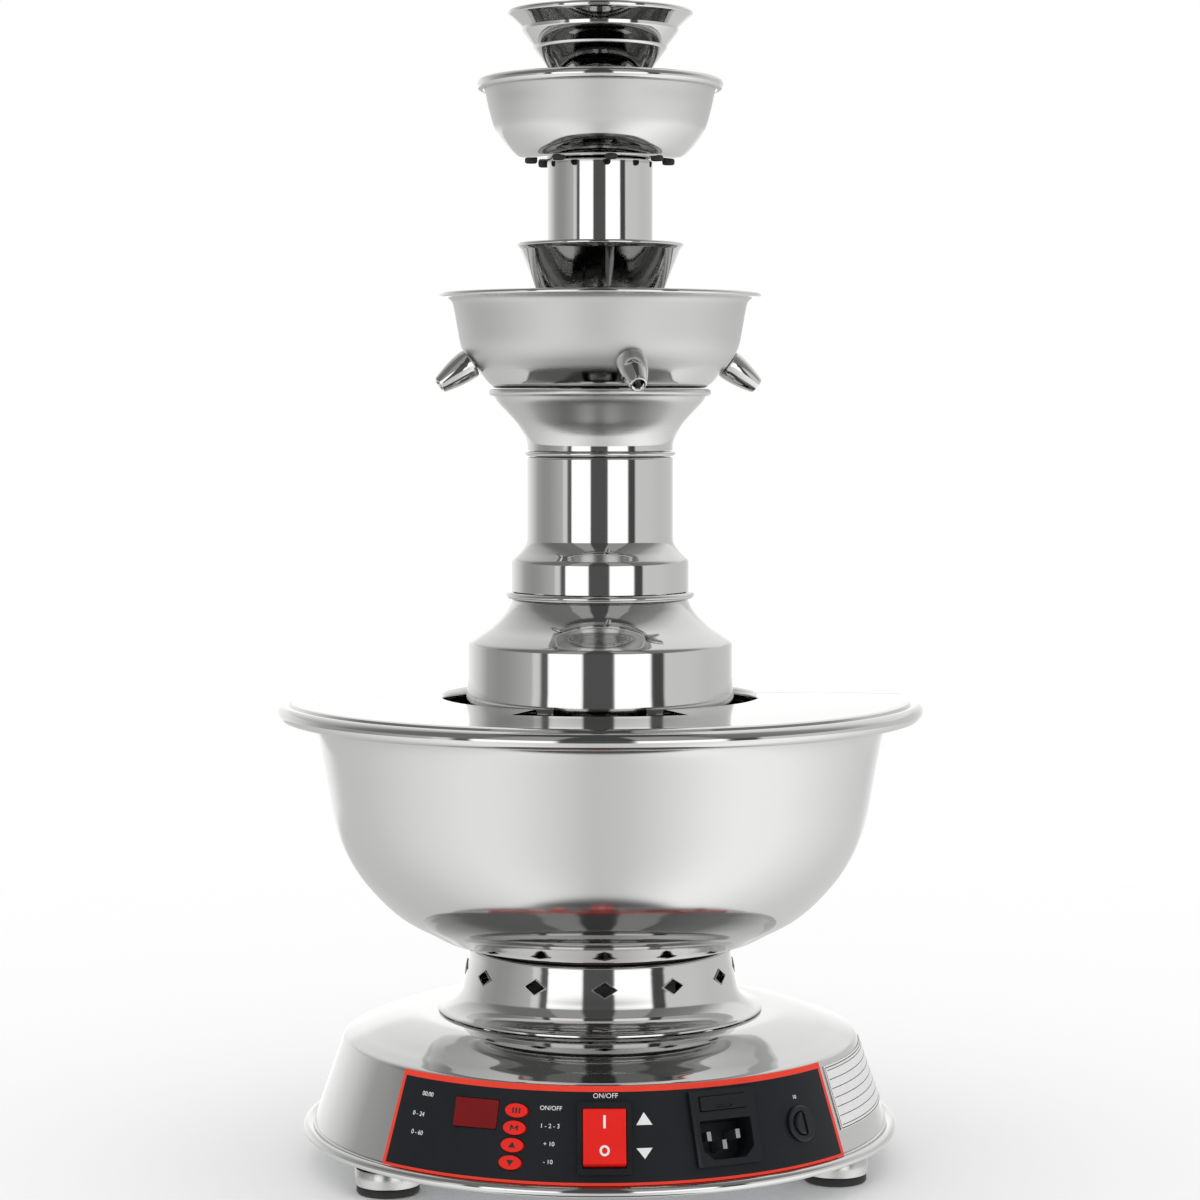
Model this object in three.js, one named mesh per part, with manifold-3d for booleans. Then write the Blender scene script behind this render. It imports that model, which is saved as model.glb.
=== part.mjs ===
// Tiered wine fountain with an electric pump: a spun stainless base with a control panel, a large
// bowl with a split lid, and a pumped tower of two smaller bowls. The origin is on the floor below
// the tower's axis, +Z is up and the control panel faces -Y. Lengths are in millimetres.
import * as THREE from 'three';
import { mergeVertices } from 'three/addons/utils/BufferGeometryUtils.js';
import Module from 'manifold-3d';

const wasm = await Module();
wasm.setup();

// Gaps, walls and facets that many pieces share
const seat = 0.3;
const runningGap = 0.08;
const sheet = 1.2;
const bite = 0.6;
const overrun = 6;
const weld = 0.001;
const baseFacets = 28;
const towerFacets = 18;
const collarFacets = 24;
const rodFacets = 12;
const smallFacets = 8;
const spoutFacets = 6;
const ovalSteps = 5;
const smallBeadRadius = 0.9;

// Feet
const footCount = 3;
const footCircle = 118.2;
const footTurn = THREE.MathUtils.degToRad(61.3);
const padRadius = 14.3;
const padHeight = 3.6;
const cupRadius = 15;
const cupHeight = 7.8;
const cupChamfer = 0.8;
const washerRadius = 14.6;
const washerHeight = 2.6;
const studRadius = 3;
const studReach = 4;

// Base shell: a rolled rim, a conical skirt and a domed top
const rimBeadRadius = 2.4;
const rimRadius = 139.8;
const skirtFootRadius = 135.2;
const skirtFootLift = 4;
const skirtRise = 40.7;
const creaseRadius = 120.9;
const domeRise = 11.4;
const domeHoleRadius = 50;
const basePlateGauge = 1.5;
const plateSlotCount = 6;
const plateSlotCircle = 70;
const plateSlotWidth = 5;
const plateSlotLength = 26;

// Collar with diamond vents, and the gasket under the bowl
const collarHeight = 29.7;
const collarRadius = 61.9;
const collarFootRadius = 76;
const collarFootRim = 3.3;
const collarLipRadius = 50;
const ventCount = 12;
const ventTurn = THREE.MathUtils.degToRad(-2.6);
const ventWidth = 11;
const ventHeight = 6.8;
const ventDrop = 10.4;
const gasketHeight = 1.9;
const gasketRadius = 59.5;
const gasketWidth = 8;

// Large bowl
const bowlRimRadius = 150;
const bowlNeckRadius = 134.8;
const bowlNeckHeight = 105.8;
const bowlHeight = 112;
const bowlBeadRadius = 2.6;
const bowlDrainRadius = 9;

// Split lid
const lidGauge = 1;
const lidHoleRadius = 74.4;
const lidPlateRadius = 104;
const lidFlangeRadius = 138;
const lidInset = 6;
const lidCrown = 2.2;
const lidHem = 3.3;
const lidSeam = 0.6;
const lidTurn = THREE.MathUtils.degToRad(2.9);
const slotEndRadius = 97;
const slotTurn = THREE.MathUtils.degToRad(-7.5);
const slotSpread = THREE.MathUtils.degToRad(45);

// Pedestal drum, column and trumpet, with the rings between them
const drumRadius = 62.2;
const drumWallHeight = 135;
const drumShoulderHeight = 24.6;
const drumTopRadius = 41.6;
const drumLipRadius = 36;
const drumGateCount = 6;
const drumGateWidth = 18;
const drumGateHeight = 9;
const lowerRingRadius = 44.5;
const lowerRingHeight = 3;
const columnFootRadius = 41.7;
const columnFootHeight = 14.4;
const columnShoulderHeight = 7;
const columnRadius = 34.3;
const columnHeight = 62.8;
const columnLipRadius = 29;
const upperRingRadius = 35.6;
const upperRingHeight = 2.2;
const ringRounding = 0.7;
const ringWidth = 5;
const trumpetRadius = 51.9;
const trumpetHeight = 28.6;
const trumpetBeadRadius = 1.5;

// Middle bowl and its taps
const midBowlRimRadius = 75.6;
const midBowlNeckRadius = 67.9;
const midBowlNeckHeight = 40.2;
const midBowlHeight = 44.2;
const tapCount = 4;
const tapTurn = THREE.MathUtils.degToRad(8.4);
const tapLength = 18.6;
const tapRadius = 7;
const tapTipRadius = 3.6;
const tapBoreRadius = 2.2;
const tapStemRadius = 3.6;
const tapStemLength = 7.5;
const tapNutRadius = 6.4;
const tapNutHeight = 2.6;
const tapSeatShare = 0.36;

// Catch cup, upper column, upper bowl and crown
const cupStemRadius = 14;
const cupFloorRadius = 28;
const cupFloorHeight = 38.5;
const catchRimRadius = 39.1;
const catchHeight = 65.9;
const upperColumnRadius = 24.6;
const upperColumnHeight = 64;
const upperLipRadius = 12;
const upperBowlRimRadius = 56.5;
const upperBowlNeckRadius = 53.3;
const upperBowlNeckHeight = 32.5;
const upperBowlHeight = 36.2;
const spoutCount = 8;
const spoutCircle = 32.3;
const spoutRadius = 2.7;
const spoutBoreRadius = 1.5;
const spoutDrop = 2.6;
const spoutTurn = THREE.MathUtils.degToRad(4.4);
const crownStemRadius = 13;
const crownFloorHeight = 26;
const crownRimRadius = 43.2;
const crownHeight = 67;
const crownBead = 1.4;

// Pump, riser and motor
const shaftRadius = 3;
const sealRadius = 8.7;
const sealFlangeRadius = 11;
const sealFlangeHeight = 1.4;
const sealDrop = 2.6;
const pumpFlangeRadius = 32;
const pumpRadius = 22;
const pumpChamberHeight = 26;
const pumpConeHeight = 14;
const pumpNeckHeight = 12;
const pumpGateCount = 6;
const pumpGateHeight = 9;
const pumpGateWidth = 11;
const impellerRadius = 18;
const impellerHeight = 11;
const impellerLift = 4;
const impellerDisc = 2;
const hubRadius = 6;
const bladeCount = 5;
const bladeGauge = 1.6;
const bladeSweep = THREE.MathUtils.degToRad(50);
const riserRadius = 9;
const riserWall = 1.2;
const riserHeight = 368;
const headHeight = 8;
const headBoreRadius = 3.5;
const standPlateRadius = 36;
const standPlateGauge = 2;
const standHeight = 76;
const standLegCount = 3;
const standLegWidth = 14;
const standTabLength = 12;
const motorRadius = 28;
const motorHeight = 58;
const motorBandHeight = 4;
const motorBandDepth = 1.5;
const shaftDepth = 20;

// Control panel and what it carries. Drop is measured down the skirt from the crease.
const panelGauge = 1.6;
const panelTop = 0;
const panelBottom = 42.8;
const panelTurn = THREE.MathUtils.degToRad(-0.5);
const panelSpread = THREE.MathUtils.degToRad(98);
const keypadTurn = THREE.MathUtils.degToRad(-25.5);
const keypadDrop = 21.76;
const keypadWidth = 46;
const keypadHeight = 31;
const boardDepth = 9;
const boardGauge = 1.6;
const boardPostRadius = 1.8;
const displayAcross = -9.3;
const displayRise = 7.6;
const displayWidth = 20.4;
const displayHeight = 12.6;
const buttonAcross = 9.6;
const buttonTopRise = 10.1;
const buttonPitch = 7.5;
const buttonCount = 4;
const buttonWidth = 10.5;
const buttonHeight = 6.2;
const buttonProud = 1;
const buttonTravel = 1;
const buttonCollar = 0.35;
const switchTurn = THREE.MathUtils.degToRad(-3.75);
const switchDrop = 22.66;
const switchWidth = 23.4;
const switchHeight = 31.2;
const bezelProud = 1.4;
const switchDepth = 20;
const switchWall = 2.1;
const rockerWidth = 18.6;
const rockerHeight = 24.4;
const rockerProud = 2.6;
const rockerDip = 1.5;
const rockerDepth = 7;
const rockerPinRadius = 1.2;
const rockerPinReach = 1.1;
const rockerEndGap = 0.7;
const rockerTilt = THREE.MathUtils.degToRad(7);
const inletTurn = THREE.MathUtils.degToRad(20.2);
const inletDrop = 20.36;
const inletWidth = 31.6;
const inletHeight = 33;
const inletProud = 1.1;
const inletDepth = 21;
const inletBackInset = 2;
const ridgeWidth = 1.6;
const ridgeProud = 0.8;
const socketWidth = 24.8;
const socketHeight = 17.2;
const socketChamfer = 4.6;
const socketDepth = 16;
const socketDropFromCentre = 5.2;
const pinWidth = 2;
const pinHeight = 4;
const pinSpacing = 7;
const pinRise = 2;
const pinInset = 3.5;
const pinTab = 6;
const drawerWidth = 22;
const drawerHeight = 6;
const drawerRise = 10.6;
const drawerDepth = 17;
const drawerFace = 0.8;
const fuseTurn = THREE.MathUtils.degToRad(38.2);
const fuseDrop = 24.26;
const fuseFlangeRadius = 8;
const fuseFlangeProud = 1.2;
const fuseBarrelRadius = 6.2;
const fuseDepth = 22;
const fuseCapRadius = 5;
const fuseCapProud = 1.6;
const fuseSlotWidth = 1.6;
const fuseSlotDepth = 1;
const windowMargin = 1;

// Power supply on the base plate
const supplyWidth = 62;
const supplyDepth = 34;
const supplyHeight = 22;
const supplyInset = 61.8;
const supplyFootHeight = 4;
const supplyFootRadius = 3;

// Levels, worked up from the floor
const underside = padHeight + seat + cupHeight + seat + washerHeight + seat;
const plateTop = underside + basePlateGauge;
const skirtFootLevel = underside + skirtFootLift;
const creaseLevel = skirtFootLevel + skirtRise;
const domeLevel = creaseLevel + domeRise;
const collarFootLevel = domeLevel + seat;
const collarLevel = collarFootLevel + collarHeight;
const gasketLevel = collarLevel + seat;
const bowlLevel = gasketLevel + gasketHeight + seat;
const bowlFloor = bowlLevel + sheet;
const bowlRimLevel = bowlLevel + bowlHeight;
const drumLevel = bowlFloor + seat;
const drumTopLevel = drumLevel + drumWallHeight + drumShoulderHeight;
const lowerRingLevel = drumTopLevel + seat;
const columnLevel = lowerRingLevel + lowerRingHeight + seat;
const columnTopLevel = columnLevel + columnHeight;
const upperRingLevel = columnTopLevel + seat;
const trumpetLevel = upperRingLevel + upperRingHeight + seat;
const trumpetTopLevel = trumpetLevel + trumpetHeight;
const midBowlLevel = trumpetTopLevel + seat;
const catchLevel = midBowlLevel + sheet + seat;
const upperColumnLevel = catchLevel + cupFloorHeight + sheet + seat;
const upperBowlLevel = upperColumnLevel + upperColumnHeight + seat;
const crownLevel = upperBowlLevel + sheet + seat;
const riserLevel = bowlFloor + seat + pumpChamberHeight + pumpConeHeight + seat;
const skirtSpread = skirtFootRadius - creaseRadius;
const skirtSlant = Math.hypot(skirtSpread, skirtRise);
const skirtLean = Math.atan2(skirtSpread, skirtRise);
const panelFace = seat + panelGauge;
const lidRadius = bowlRimRadius - lidInset;
const supplySetback = rimRadius - supplyInset;

// Curves of the spun walls, as shares of each wall's radius and height
const domeShares = [[1, 0], [0.972, 0.21], [0.91, 0.42], [0.844, 0.67], [0.769, 0.89], [0.706, 1]];
const collarShares = [[0.985, 0], [0.935, 0.025], [0.865, 0.17], [0.84, 0.42], [0.8145, 0.85], [0.8145, 1]];
const bowlShares = [[0.475, 0], [0.555, 0.017], [0.7, 0.121], [0.832, 0.291], [0.911, 0.48],
  [0.945, 0.687], [0.973, 0.872], [1, 1]];
const drumShoulderShares = [[1, 0], [0.955, 0.16], [0.8, 0.42], [0.707, 0.7], [0.669, 1]];
const trumpetShares = [[0.66, 0], [0.685, 0.24], [0.76, 0.5], [0.91, 0.8], [1, 1]];
const midBowlShares = [[0.735, 0], [0.79, 0.068], [0.922, 0.36], [0.962, 0.5], [0.985, 0.74], [1, 1]];
const upperBowlShares = [[0.7, 0], [0.8, 0.14], [0.906, 0.37], [0.97, 0.7], [1, 1]];
const tapShares = [[1, 0.06], [0.97, 0.3], [0.82, 0.62], [0.514, 1]];

const finishes = {
  polished: new THREE.MeshStandardMaterial({ color: 0xd4d4d2, roughness: 0.08, metalness: 1 }),
  brushed: new THREE.MeshStandardMaterial({ color: 0xb9b8b6, roughness: 0.3, metalness: 1 }),
  plated: new THREE.MeshStandardMaterial({ color: 0xa9abad, roughness: 0.4, metalness: 1 }),
  rubber: new THREE.MeshStandardMaterial({ color: 0x17171a, roughness: 0.85, metalness: 0 }),
  panel: new THREE.MeshStandardMaterial({ color: 0x24272d, roughness: 0.45, metalness: 0 }),
  black: new THREE.MeshStandardMaterial({ color: 0x1c1d21, roughness: 0.4, metalness: 0 }),
  red: new THREE.MeshStandardMaterial({ color: 0xe22a22, roughness: 0.3, metalness: 0 }),
  display: new THREE.MeshStandardMaterial({ color: 0x6f1519, roughness: 0.2, metalness: 0 }),
  white: new THREE.MeshStandardMaterial({ color: 0xe6e4de, roughness: 0.5, metalness: 0 }),
  board: new THREE.MeshStandardMaterial({ color: 0x1f4a2c, roughness: 0.6, metalness: 0 }),
};

// Welds a geometry's shared corners and drops the triangles that the weld has closed up
function welded(geometry) {
  const bare = geometry.index ? geometry.toNonIndexed() : geometry.clone();
  bare.deleteAttribute('normal');
  bare.deleteAttribute('uv');
  const merged = mergeVertices(bare, weld);
  const corners = merged.index.array;
  const kept = [];
  for (let i = 0; i < corners.length; i += 3) {
    const [a, b, c] = corners.slice(i, i + 3);
    if (a !== b && b !== c && c !== a) kept.push(a, b, c);
  }
  merged.setIndex(kept);
  return merged;
}

function solidOf(geometry) {
  const closed = welded(geometry);
  const vertProperties = new Float32Array(closed.attributes.position.array);
  const triVerts = new Uint32Array(closed.index.array);
  return new wasm.Manifold(new wasm.Mesh({ numProp: 3, vertProperties, triVerts }));
}

function geometryOf(solid) {
  const mesh = solid.getMesh();
  const geometry = new THREE.BufferGeometry();
  geometry.setAttribute('position', new THREE.BufferAttribute(mesh.vertProperties, 3));
  geometry.setIndex(new THREE.BufferAttribute(mesh.triVerts, 1));
  return geometry;
}

function joined(first, ...others) {
  return geometryOf(others.reduce((whole, other) => whole.add(solidOf(other)), solidOf(first)));
}

function cut(body, ...cutters) {
  return geometryOf(cutters.reduce((left, cutter) => left.subtract(solidOf(cutter)), solidOf(body)));
}

function common(body, other) {
  return geometryOf(solidOf(body).intersect(solidOf(other)));
}

const at = (radius, level) => new THREE.Vector2(radius, level);

// Revolves a closed outline of radius and level about the tower's axis
function turned(outline, facets) {
  const points = THREE.ShapeUtils.isClockWise(outline) ? [...outline].reverse() : [...outline];
  points.push(points[0].clone());
  const geometry = new THREE.LatheGeometry(points, facets);
  return welded(geometry.rotateX(Math.PI / 2));
}

// Points of a smooth curve through shares of a radius and a height
function curved(shares, radius, height, level, steps) {
  const points = shares.map(([across, up]) => at(across * radius, level + up * height));
  return new THREE.SplineCurve(points).getPoints(steps);
}

function arc(centre, radius, from, to, steps) {
  return Array.from({ length: steps + 1 }, (_, i) => {
    const angle = THREE.MathUtils.lerp(from, to, i / steps);
    return at(centre.x + radius * Math.cos(angle), centre.y + radius * Math.sin(angle));
  });
}

// The line that keeps one wall's distance to the left of a path
function beside(path, distance) {
  return path.map((point, i) => {
    const steps = [];
    if (i > 0) steps.push(point.clone().sub(path[i - 1]).normalize());
    if (i < path.length - 1) steps.push(path[i + 1].clone().sub(point).normalize());
    const sides = steps.map((step) => at(-step.y, step.x));
    const mean = sides.reduce((sum, side) => sum.add(side), at(0, 0)).normalize();
    const stretch = 1 / Math.max(mean.dot(at(-steps[0].y, steps[0].x)), 1 / 2);
    return point.clone().addScaledVector(mean, distance * stretch);
  });
}

// A spun sheet whose outer face follows a path, with its wall to the left of the path. A rolled edge
// is solid and closes the sheet past the path's end, or before its start.
function spun(path, facets, { wall = sheet, rolledEnd = [], rolledStart = [] } = {}) {
  return turned([...path, ...rolledEnd, ...beside(path, wall).reverse(), ...rolledStart], facets);
}

function rod(radius, height, facets = rodFacets, level = 0) {
  const geometry = new THREE.CylinderGeometry(radius, radius, height, facets);
  return geometry.rotateX(Math.PI / 2).translate(0, 0, level + height / 2);
}

function slab(width, depth, height, x = 0, y = 0, level = 0) {
  return new THREE.BoxGeometry(width, depth, height).translate(x, y, level + height / 2);
}

// A plate of a closed shape, from one level up
function plate(shape, height, level = 0, steps = 8) {
  const options = { depth: height, bevelEnabled: false, curveSegments: steps };
  return new THREE.ExtrudeGeometry(shape, options).translate(0, 0, level);
}

function around(geometry, turn) {
  return geometry.clone().rotateZ(turn);
}

function copiesAround(geometry, count, firstTurn = 0) {
  return Array.from({ length: count }, (_, i) => around(geometry, firstTurn + (i * 2 * Math.PI) / count));
}

// A wedge about the axis, centred on a turn from the front
function wedge(turn, spread, radius, height, level) {
  const shape = new THREE.Shape([at(0, 0)]);
  const steps = 4;
  for (let i = 0; i <= steps; i += 1) {
    const angle = turn + spread * (i / steps - 1 / 2);
    shape.lineTo(radius * Math.sin(angle), -radius * Math.cos(angle));
  }
  return plate(shape, height, level);
}

// The frame of a fitting on the skirt: x runs round it, y up it and z out of it
function skirtFrame(turn, drop) {
  const run = new THREE.Vector3(Math.cos(turn), Math.sin(turn), 0);
  const out = new THREE.Vector3(
    Math.sin(turn) * Math.cos(skirtLean), -Math.cos(turn) * Math.cos(skirtLean), Math.sin(skirtLean));
  const radius = creaseRadius + (skirtSpread * drop) / skirtSlant;
  const level = creaseLevel - (skirtRise * drop) / skirtSlant;
  return new THREE.Matrix4().makeBasis(run, out.clone().cross(run), out)
    .setPosition(radius * Math.sin(turn), -radius * Math.cos(turn), level);
}

const keypadFrame = skirtFrame(keypadTurn, keypadDrop);
const switchFrame = skirtFrame(switchTurn, switchDrop);
const inletFrame = skirtFrame(inletTurn, inletDrop);
const fuseFrame = skirtFrame(fuseTurn, fuseDrop);

function fountain() {
  const whole = new THREE.Group();
  whole.name = 'wine_fountain';
  whole.add(baseGroup(), panelGroup(), driveGroup(), bowlGroup(), towerGroup());
  return whole;
}

function piece(name, geometry, finish) {
  const mesh = new THREE.Mesh(geometry, finish);
  mesh.name = name;
  return mesh;
}

function framed(matrix, ...meshes) {
  const group = new THREE.Group();
  group.applyMatrix4(matrix);
  group.add(...meshes);
  return group;
}

// Base

function baseShell() {
  const bead = at(rimRadius - rimBeadRadius, underside + rimBeadRadius - seat);
  const path = [
    at(skirtFootRadius, skirtFootLevel),
    ...curved(domeShares, creaseRadius, domeRise, creaseLevel, 5),
    at(domeHoleRadius, domeLevel),
  ];
  const rolledStart = arc(bead, rimBeadRadius, Math.PI, 2.6 * Math.PI, 5);
  return cut(spun(path, baseFacets, { rolledStart }), ...fittingWindows(windowMargin, boardPocket()));
}

// Openings behind the panel that let its fittings through the shell
function fittingWindows(margin, pocket) {
  const depth = 2 * overrun;
  const back = -overrun;
  const bodyWidth = rockerWidth + 2 * switchWall + 2 * margin;
  const bodyHeight = rockerHeight + 2 * switchWall + 2 * margin;
  const inletBack = inletWidth - 2 * inletBackInset + 2 * margin;
  const inletTall = inletHeight - 2 * inletBackInset + 2 * margin;
  return [
    pocket,
    slab(bodyWidth, bodyHeight, depth, 0, 0, back).applyMatrix4(switchFrame),
    slab(inletBack, inletTall, depth, 0, 0, back).applyMatrix4(inletFrame),
    rod(fuseBarrelRadius + margin, depth, rodFacets, back).applyMatrix4(fuseFrame),
  ];
}

function boardPocket() {
  const width = keypadWidth + 2 * windowMargin;
  const height = keypadHeight + 2 * windowMargin;
  return slab(width, height, 2 * overrun, 0, 0, -overrun).applyMatrix4(keypadFrame);
}

function basePlate() {
  const bead = rimRadius - 2 * rimBeadRadius - seat;
  const disc = rod(bead, basePlateGauge, baseFacets, underside);
  const slot = slab(plateSlotWidth, plateSlotLength, overrun, 0, plateSlotCircle, underside - bite);
  const studHole = rod(studRadius + seat, overrun, smallFacets, underside - bite)
    .translate(0, -footCircle, 0);
  return cut(disc, ...copiesAround(slot, plateSlotCount, Math.PI / plateSlotCount),
    ...copiesAround(studHole, footCount, footTurn));
}

function footCup() {
  const level = padHeight + seat;
  const cup = turned([
    at(0, level), at(cupRadius - cupChamfer, level), at(cupRadius, level + cupChamfer),
    at(cupRadius, level + cupHeight), at(0, level + cupHeight),
  ], rodFacets);
  const studHeight = cupHeight / 2 + seat + washerHeight + seat + basePlateGauge + studReach;
  return joined(cup, rod(studRadius, studHeight, smallFacets, level + cupHeight / 2));
}

function footWasher() {
  const level = padHeight + seat + cupHeight + seat;
  const bore = studRadius + seat;
  return turned([at(bore, level), at(washerRadius, level), at(washerRadius, level + washerHeight),
    at(bore, level + washerHeight)], smallFacets);
}

function footPad() {
  return turned([at(0, 0), at(padRadius - cupChamfer, 0), at(padRadius, cupChamfer),
    at(padRadius, padHeight), at(0, padHeight)], rodFacets);
}

function baseGroup() {
  const group = new THREE.Group();
  group.add(piece('base_shell', baseShell(), finishes.polished));
  group.add(piece('base_plate', basePlate(), finishes.plated));
  for (let i = 0; i < footCount; i += 1) {
    const foot = new THREE.Group();
    foot.rotation.z = footTurn + (i * 2 * Math.PI) / footCount;
    const set = new THREE.Group();
    set.position.y = -footCircle;
    set.add(piece(`foot_pad_${i + 1}`, footPad(), finishes.rubber));
    set.add(piece(`foot_cup_${i + 1}`, footCup(), finishes.brushed));
    set.add(piece(`foot_washer_${i + 1}`, footWasher(), finishes.rubber));
    foot.add(set);
    group.add(foot);
  }
  group.add(piece('power_supply', powerSupply(), finishes.plated));
  group.add(piece('collar', collar(), finishes.polished));
  group.add(piece('neck_gasket', neckGasket(), finishes.rubber));
  return group;
}

function powerSupply() {
  const level = plateTop + seat;
  const box = slab(supplyWidth, supplyDepth, supplyHeight, 0, supplySetback, level + supplyFootHeight);
  const feet = [-1, 1].flatMap((side) => [-1, 1].map((end) => {
    const inset = 2 * supplyFootRadius;
    return rod(supplyFootRadius, supplyFootHeight + bite, smallFacets, level)
      .translate(side * (supplyWidth / 2 - inset), supplySetback + end * (supplyDepth / 2 - inset), 0);
  }));
  return joined(box, ...feet);
}

function collar() {
  const wallLevel = collarFootLevel + collarFootRim;
  const path = [
    at(collarFootRadius, collarFootLevel),
    at(collarFootRadius, wallLevel),
    ...curved(collarShares, collarFootRadius, collarLevel - sheet - wallLevel, wallLevel, 5),
    at(collarRadius - sheet, collarLevel),
    at(collarLipRadius, collarLevel),
  ];
  const diamond = new THREE.Shape([at(-ventWidth / 2, 0), at(0, -ventHeight / 2),
    at(ventWidth / 2, 0), at(0, ventHeight / 2)]);
  const vent = plate(diamond, 2 * overrun).rotateX(Math.PI / 2)
    .translate(0, overrun - collarRadius, collarLevel - ventDrop);
  const shell = around(spun(path, collarFacets), ventTurn + Math.PI / collarFacets);
  return cut(shell, ...copiesAround(vent, ventCount, ventTurn));
}

function neckGasket() {
  const inner = gasketRadius - gasketWidth;
  return turned([at(inner, gasketLevel), at(gasketRadius, gasketLevel),
    at(gasketRadius, gasketLevel + gasketHeight), at(inner, gasketLevel + gasketHeight)], towerFacets);
}

// Control panel

function controlPanel() {
  const corner = (drop, proud) => at(
    creaseRadius + (skirtSpread * drop) / skirtSlant + proud * Math.cos(skirtLean),
    creaseLevel - (skirtRise * drop) / skirtSlant + proud * Math.sin(skirtLean));
  const ring = turned([corner(panelBottom, seat), corner(panelBottom, panelFace),
    corner(panelTop, panelFace), corner(panelTop, seat)], baseFacets);
  const strip = common(ring, wedge(panelTurn, panelSpread, 2 * rimRadius, creaseLevel + domeRise, 0));
  return cut(strip, ...fittingWindows(seat, displayHole()), ...buttonHoles());
}

function displayHole() {
  const width = displayWidth + 2 * seat;
  const height = displayHeight + 2 * seat;
  return slab(width, height, 2 * overrun, displayAcross, displayRise, -overrun).applyMatrix4(keypadFrame);
}

function oval(width, height) {
  const shape = new THREE.Shape();
  shape.absellipse(0, 0, width / 2, height / 2, 0, 2 * Math.PI, false, 0);
  return shape;
}

// A turned hole's radius whose flat facets clear a rod of this radius
const bored = (radius, facets = rodFacets) => radius / Math.cos(Math.PI / facets);

const buttonRise = (index) => buttonTopRise - index * buttonPitch;

function buttonHoles() {
  const hole = oval(buttonWidth + 2 * seat, buttonHeight + 2 * seat);
  return Array.from({ length: buttonCount }, (_, i) => plate(hole, 2 * overrun, -overrun, ovalSteps)
    .translate(buttonAcross, buttonRise(i), 0).applyMatrix4(keypadFrame));
}

// The frame's flat plane lies off the curved panel towards its sides by this much
const sag = (across) => creaseRadius - Math.sqrt(creaseRadius ** 2 - across ** 2);

function button() {
  const collarTop = -sag(buttonAcross + buttonWidth / 2) - seat;
  const top = panelFace + buttonProud - sag(buttonAcross);
  const bottom = buttonTravel + seat - boardDepth + boardGauge;
  const stem = plate(oval(buttonWidth, buttonHeight), top - bottom, bottom, ovalSteps);
  const flange = oval(buttonWidth + 2 * buttonCollar, buttonHeight + 2 * buttonCollar);
  return joined(stem, plate(flange, buttonTravel, collarTop - buttonTravel, ovalSteps));
}

function displayWindow() {
  const back = -seat;
  return slab(displayWidth, displayHeight, panelFace - sag(displayAcross) - back, 0, 0, back);
}

// Board with a block behind the display and four posts to the panel
function controlBoard() {
  const postTop = -sag(keypadWidth / 2);
  const board = slab(keypadWidth, keypadHeight, boardGauge, 0, 0, -boardDepth);
  const block = slab(displayWidth - 2 * bite, displayHeight - 2 * bite, boardDepth - boardGauge + bite - 2 * seat,
    displayAcross, displayRise, -boardDepth + boardGauge - bite);
  const posts = [-1, 1].flatMap((side) => [-1, 1].map((end) => rod(
    boardPostRadius, boardDepth - boardGauge + postTop + bite, smallFacets, -boardDepth + boardGauge - bite)
    .translate(side * (keypadWidth / 2 - boardPostRadius), end * (keypadHeight / 2 - boardPostRadius), 0)));
  return joined(board, block, ...posts);
}

function switchBody() {
  const front = panelFace + seat;
  const bodyWidth = rockerWidth + 2 * switchWall;
  const bodyHeight = rockerHeight + 2 * switchWall;
  const bezel = slab(switchWidth, switchHeight, bezelProud, 0, 0, front);
  const housing = slab(bodyWidth - 2 * seat, bodyHeight - 2 * seat, switchDepth + front + bite, 0, 0, -switchDepth);
  const well = slab(rockerWidth + 2 * seat, rockerHeight + 2 * rockerEndGap, switchDepth + overrun,
    0, 0, switchWall - switchDepth);
  const bore = rod(bored(rockerPinRadius + runningGap), rockerWidth + 2 * rockerPinReach + 2 * seat)
    .translate(0, 0, -(rockerWidth + 2 * rockerPinReach + 2 * seat) / 2).rotateY(Math.PI / 2)
    .translate(0, 0, front + bezelProud - rockerDepth / 2);
  return cut(joined(bezel, housing), well, bore);
}

// Rocker about its own pin, its dished face towards +z
function rocker() {
  const end = rockerHeight / 2;
  const crest = rockerProud + rockerDepth / 2;
  const shape = new THREE.Shape([at(-end, -rockerDepth / 2), at(end, -rockerDepth / 2),
    at(end, crest), at(0, crest - rockerDip), at(-end, crest)]);
  const body = plate(shape, rockerWidth).translate(0, 0, -rockerWidth / 2);
  const length = rockerWidth + 2 * rockerPinReach;
  const pin = rod(rockerPinRadius, length).translate(0, 0, -length / 2);
  return joined(body, pin).applyMatrix4(new THREE.Matrix4().makeBasis(
    new THREE.Vector3(0, 1, 0), new THREE.Vector3(0, 0, 1), new THREE.Vector3(1, 0, 0)));
}

function socketShape(width, height, chamfer) {
  const side = width / 2;
  const half = height / 2;
  return new THREE.Shape([at(-side + chamfer, -half), at(side - chamfer, -half), at(side, chamfer - half),
    at(side, half), at(-side, half), at(-side, chamfer - half)]);
}

function pinPlaces() {
  return [at(-pinSpacing, pinRise), at(0, -pinRise), at(pinSpacing, pinRise)]
    .map((place) => at(place.x, place.y - socketDropFromCentre));
}

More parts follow.
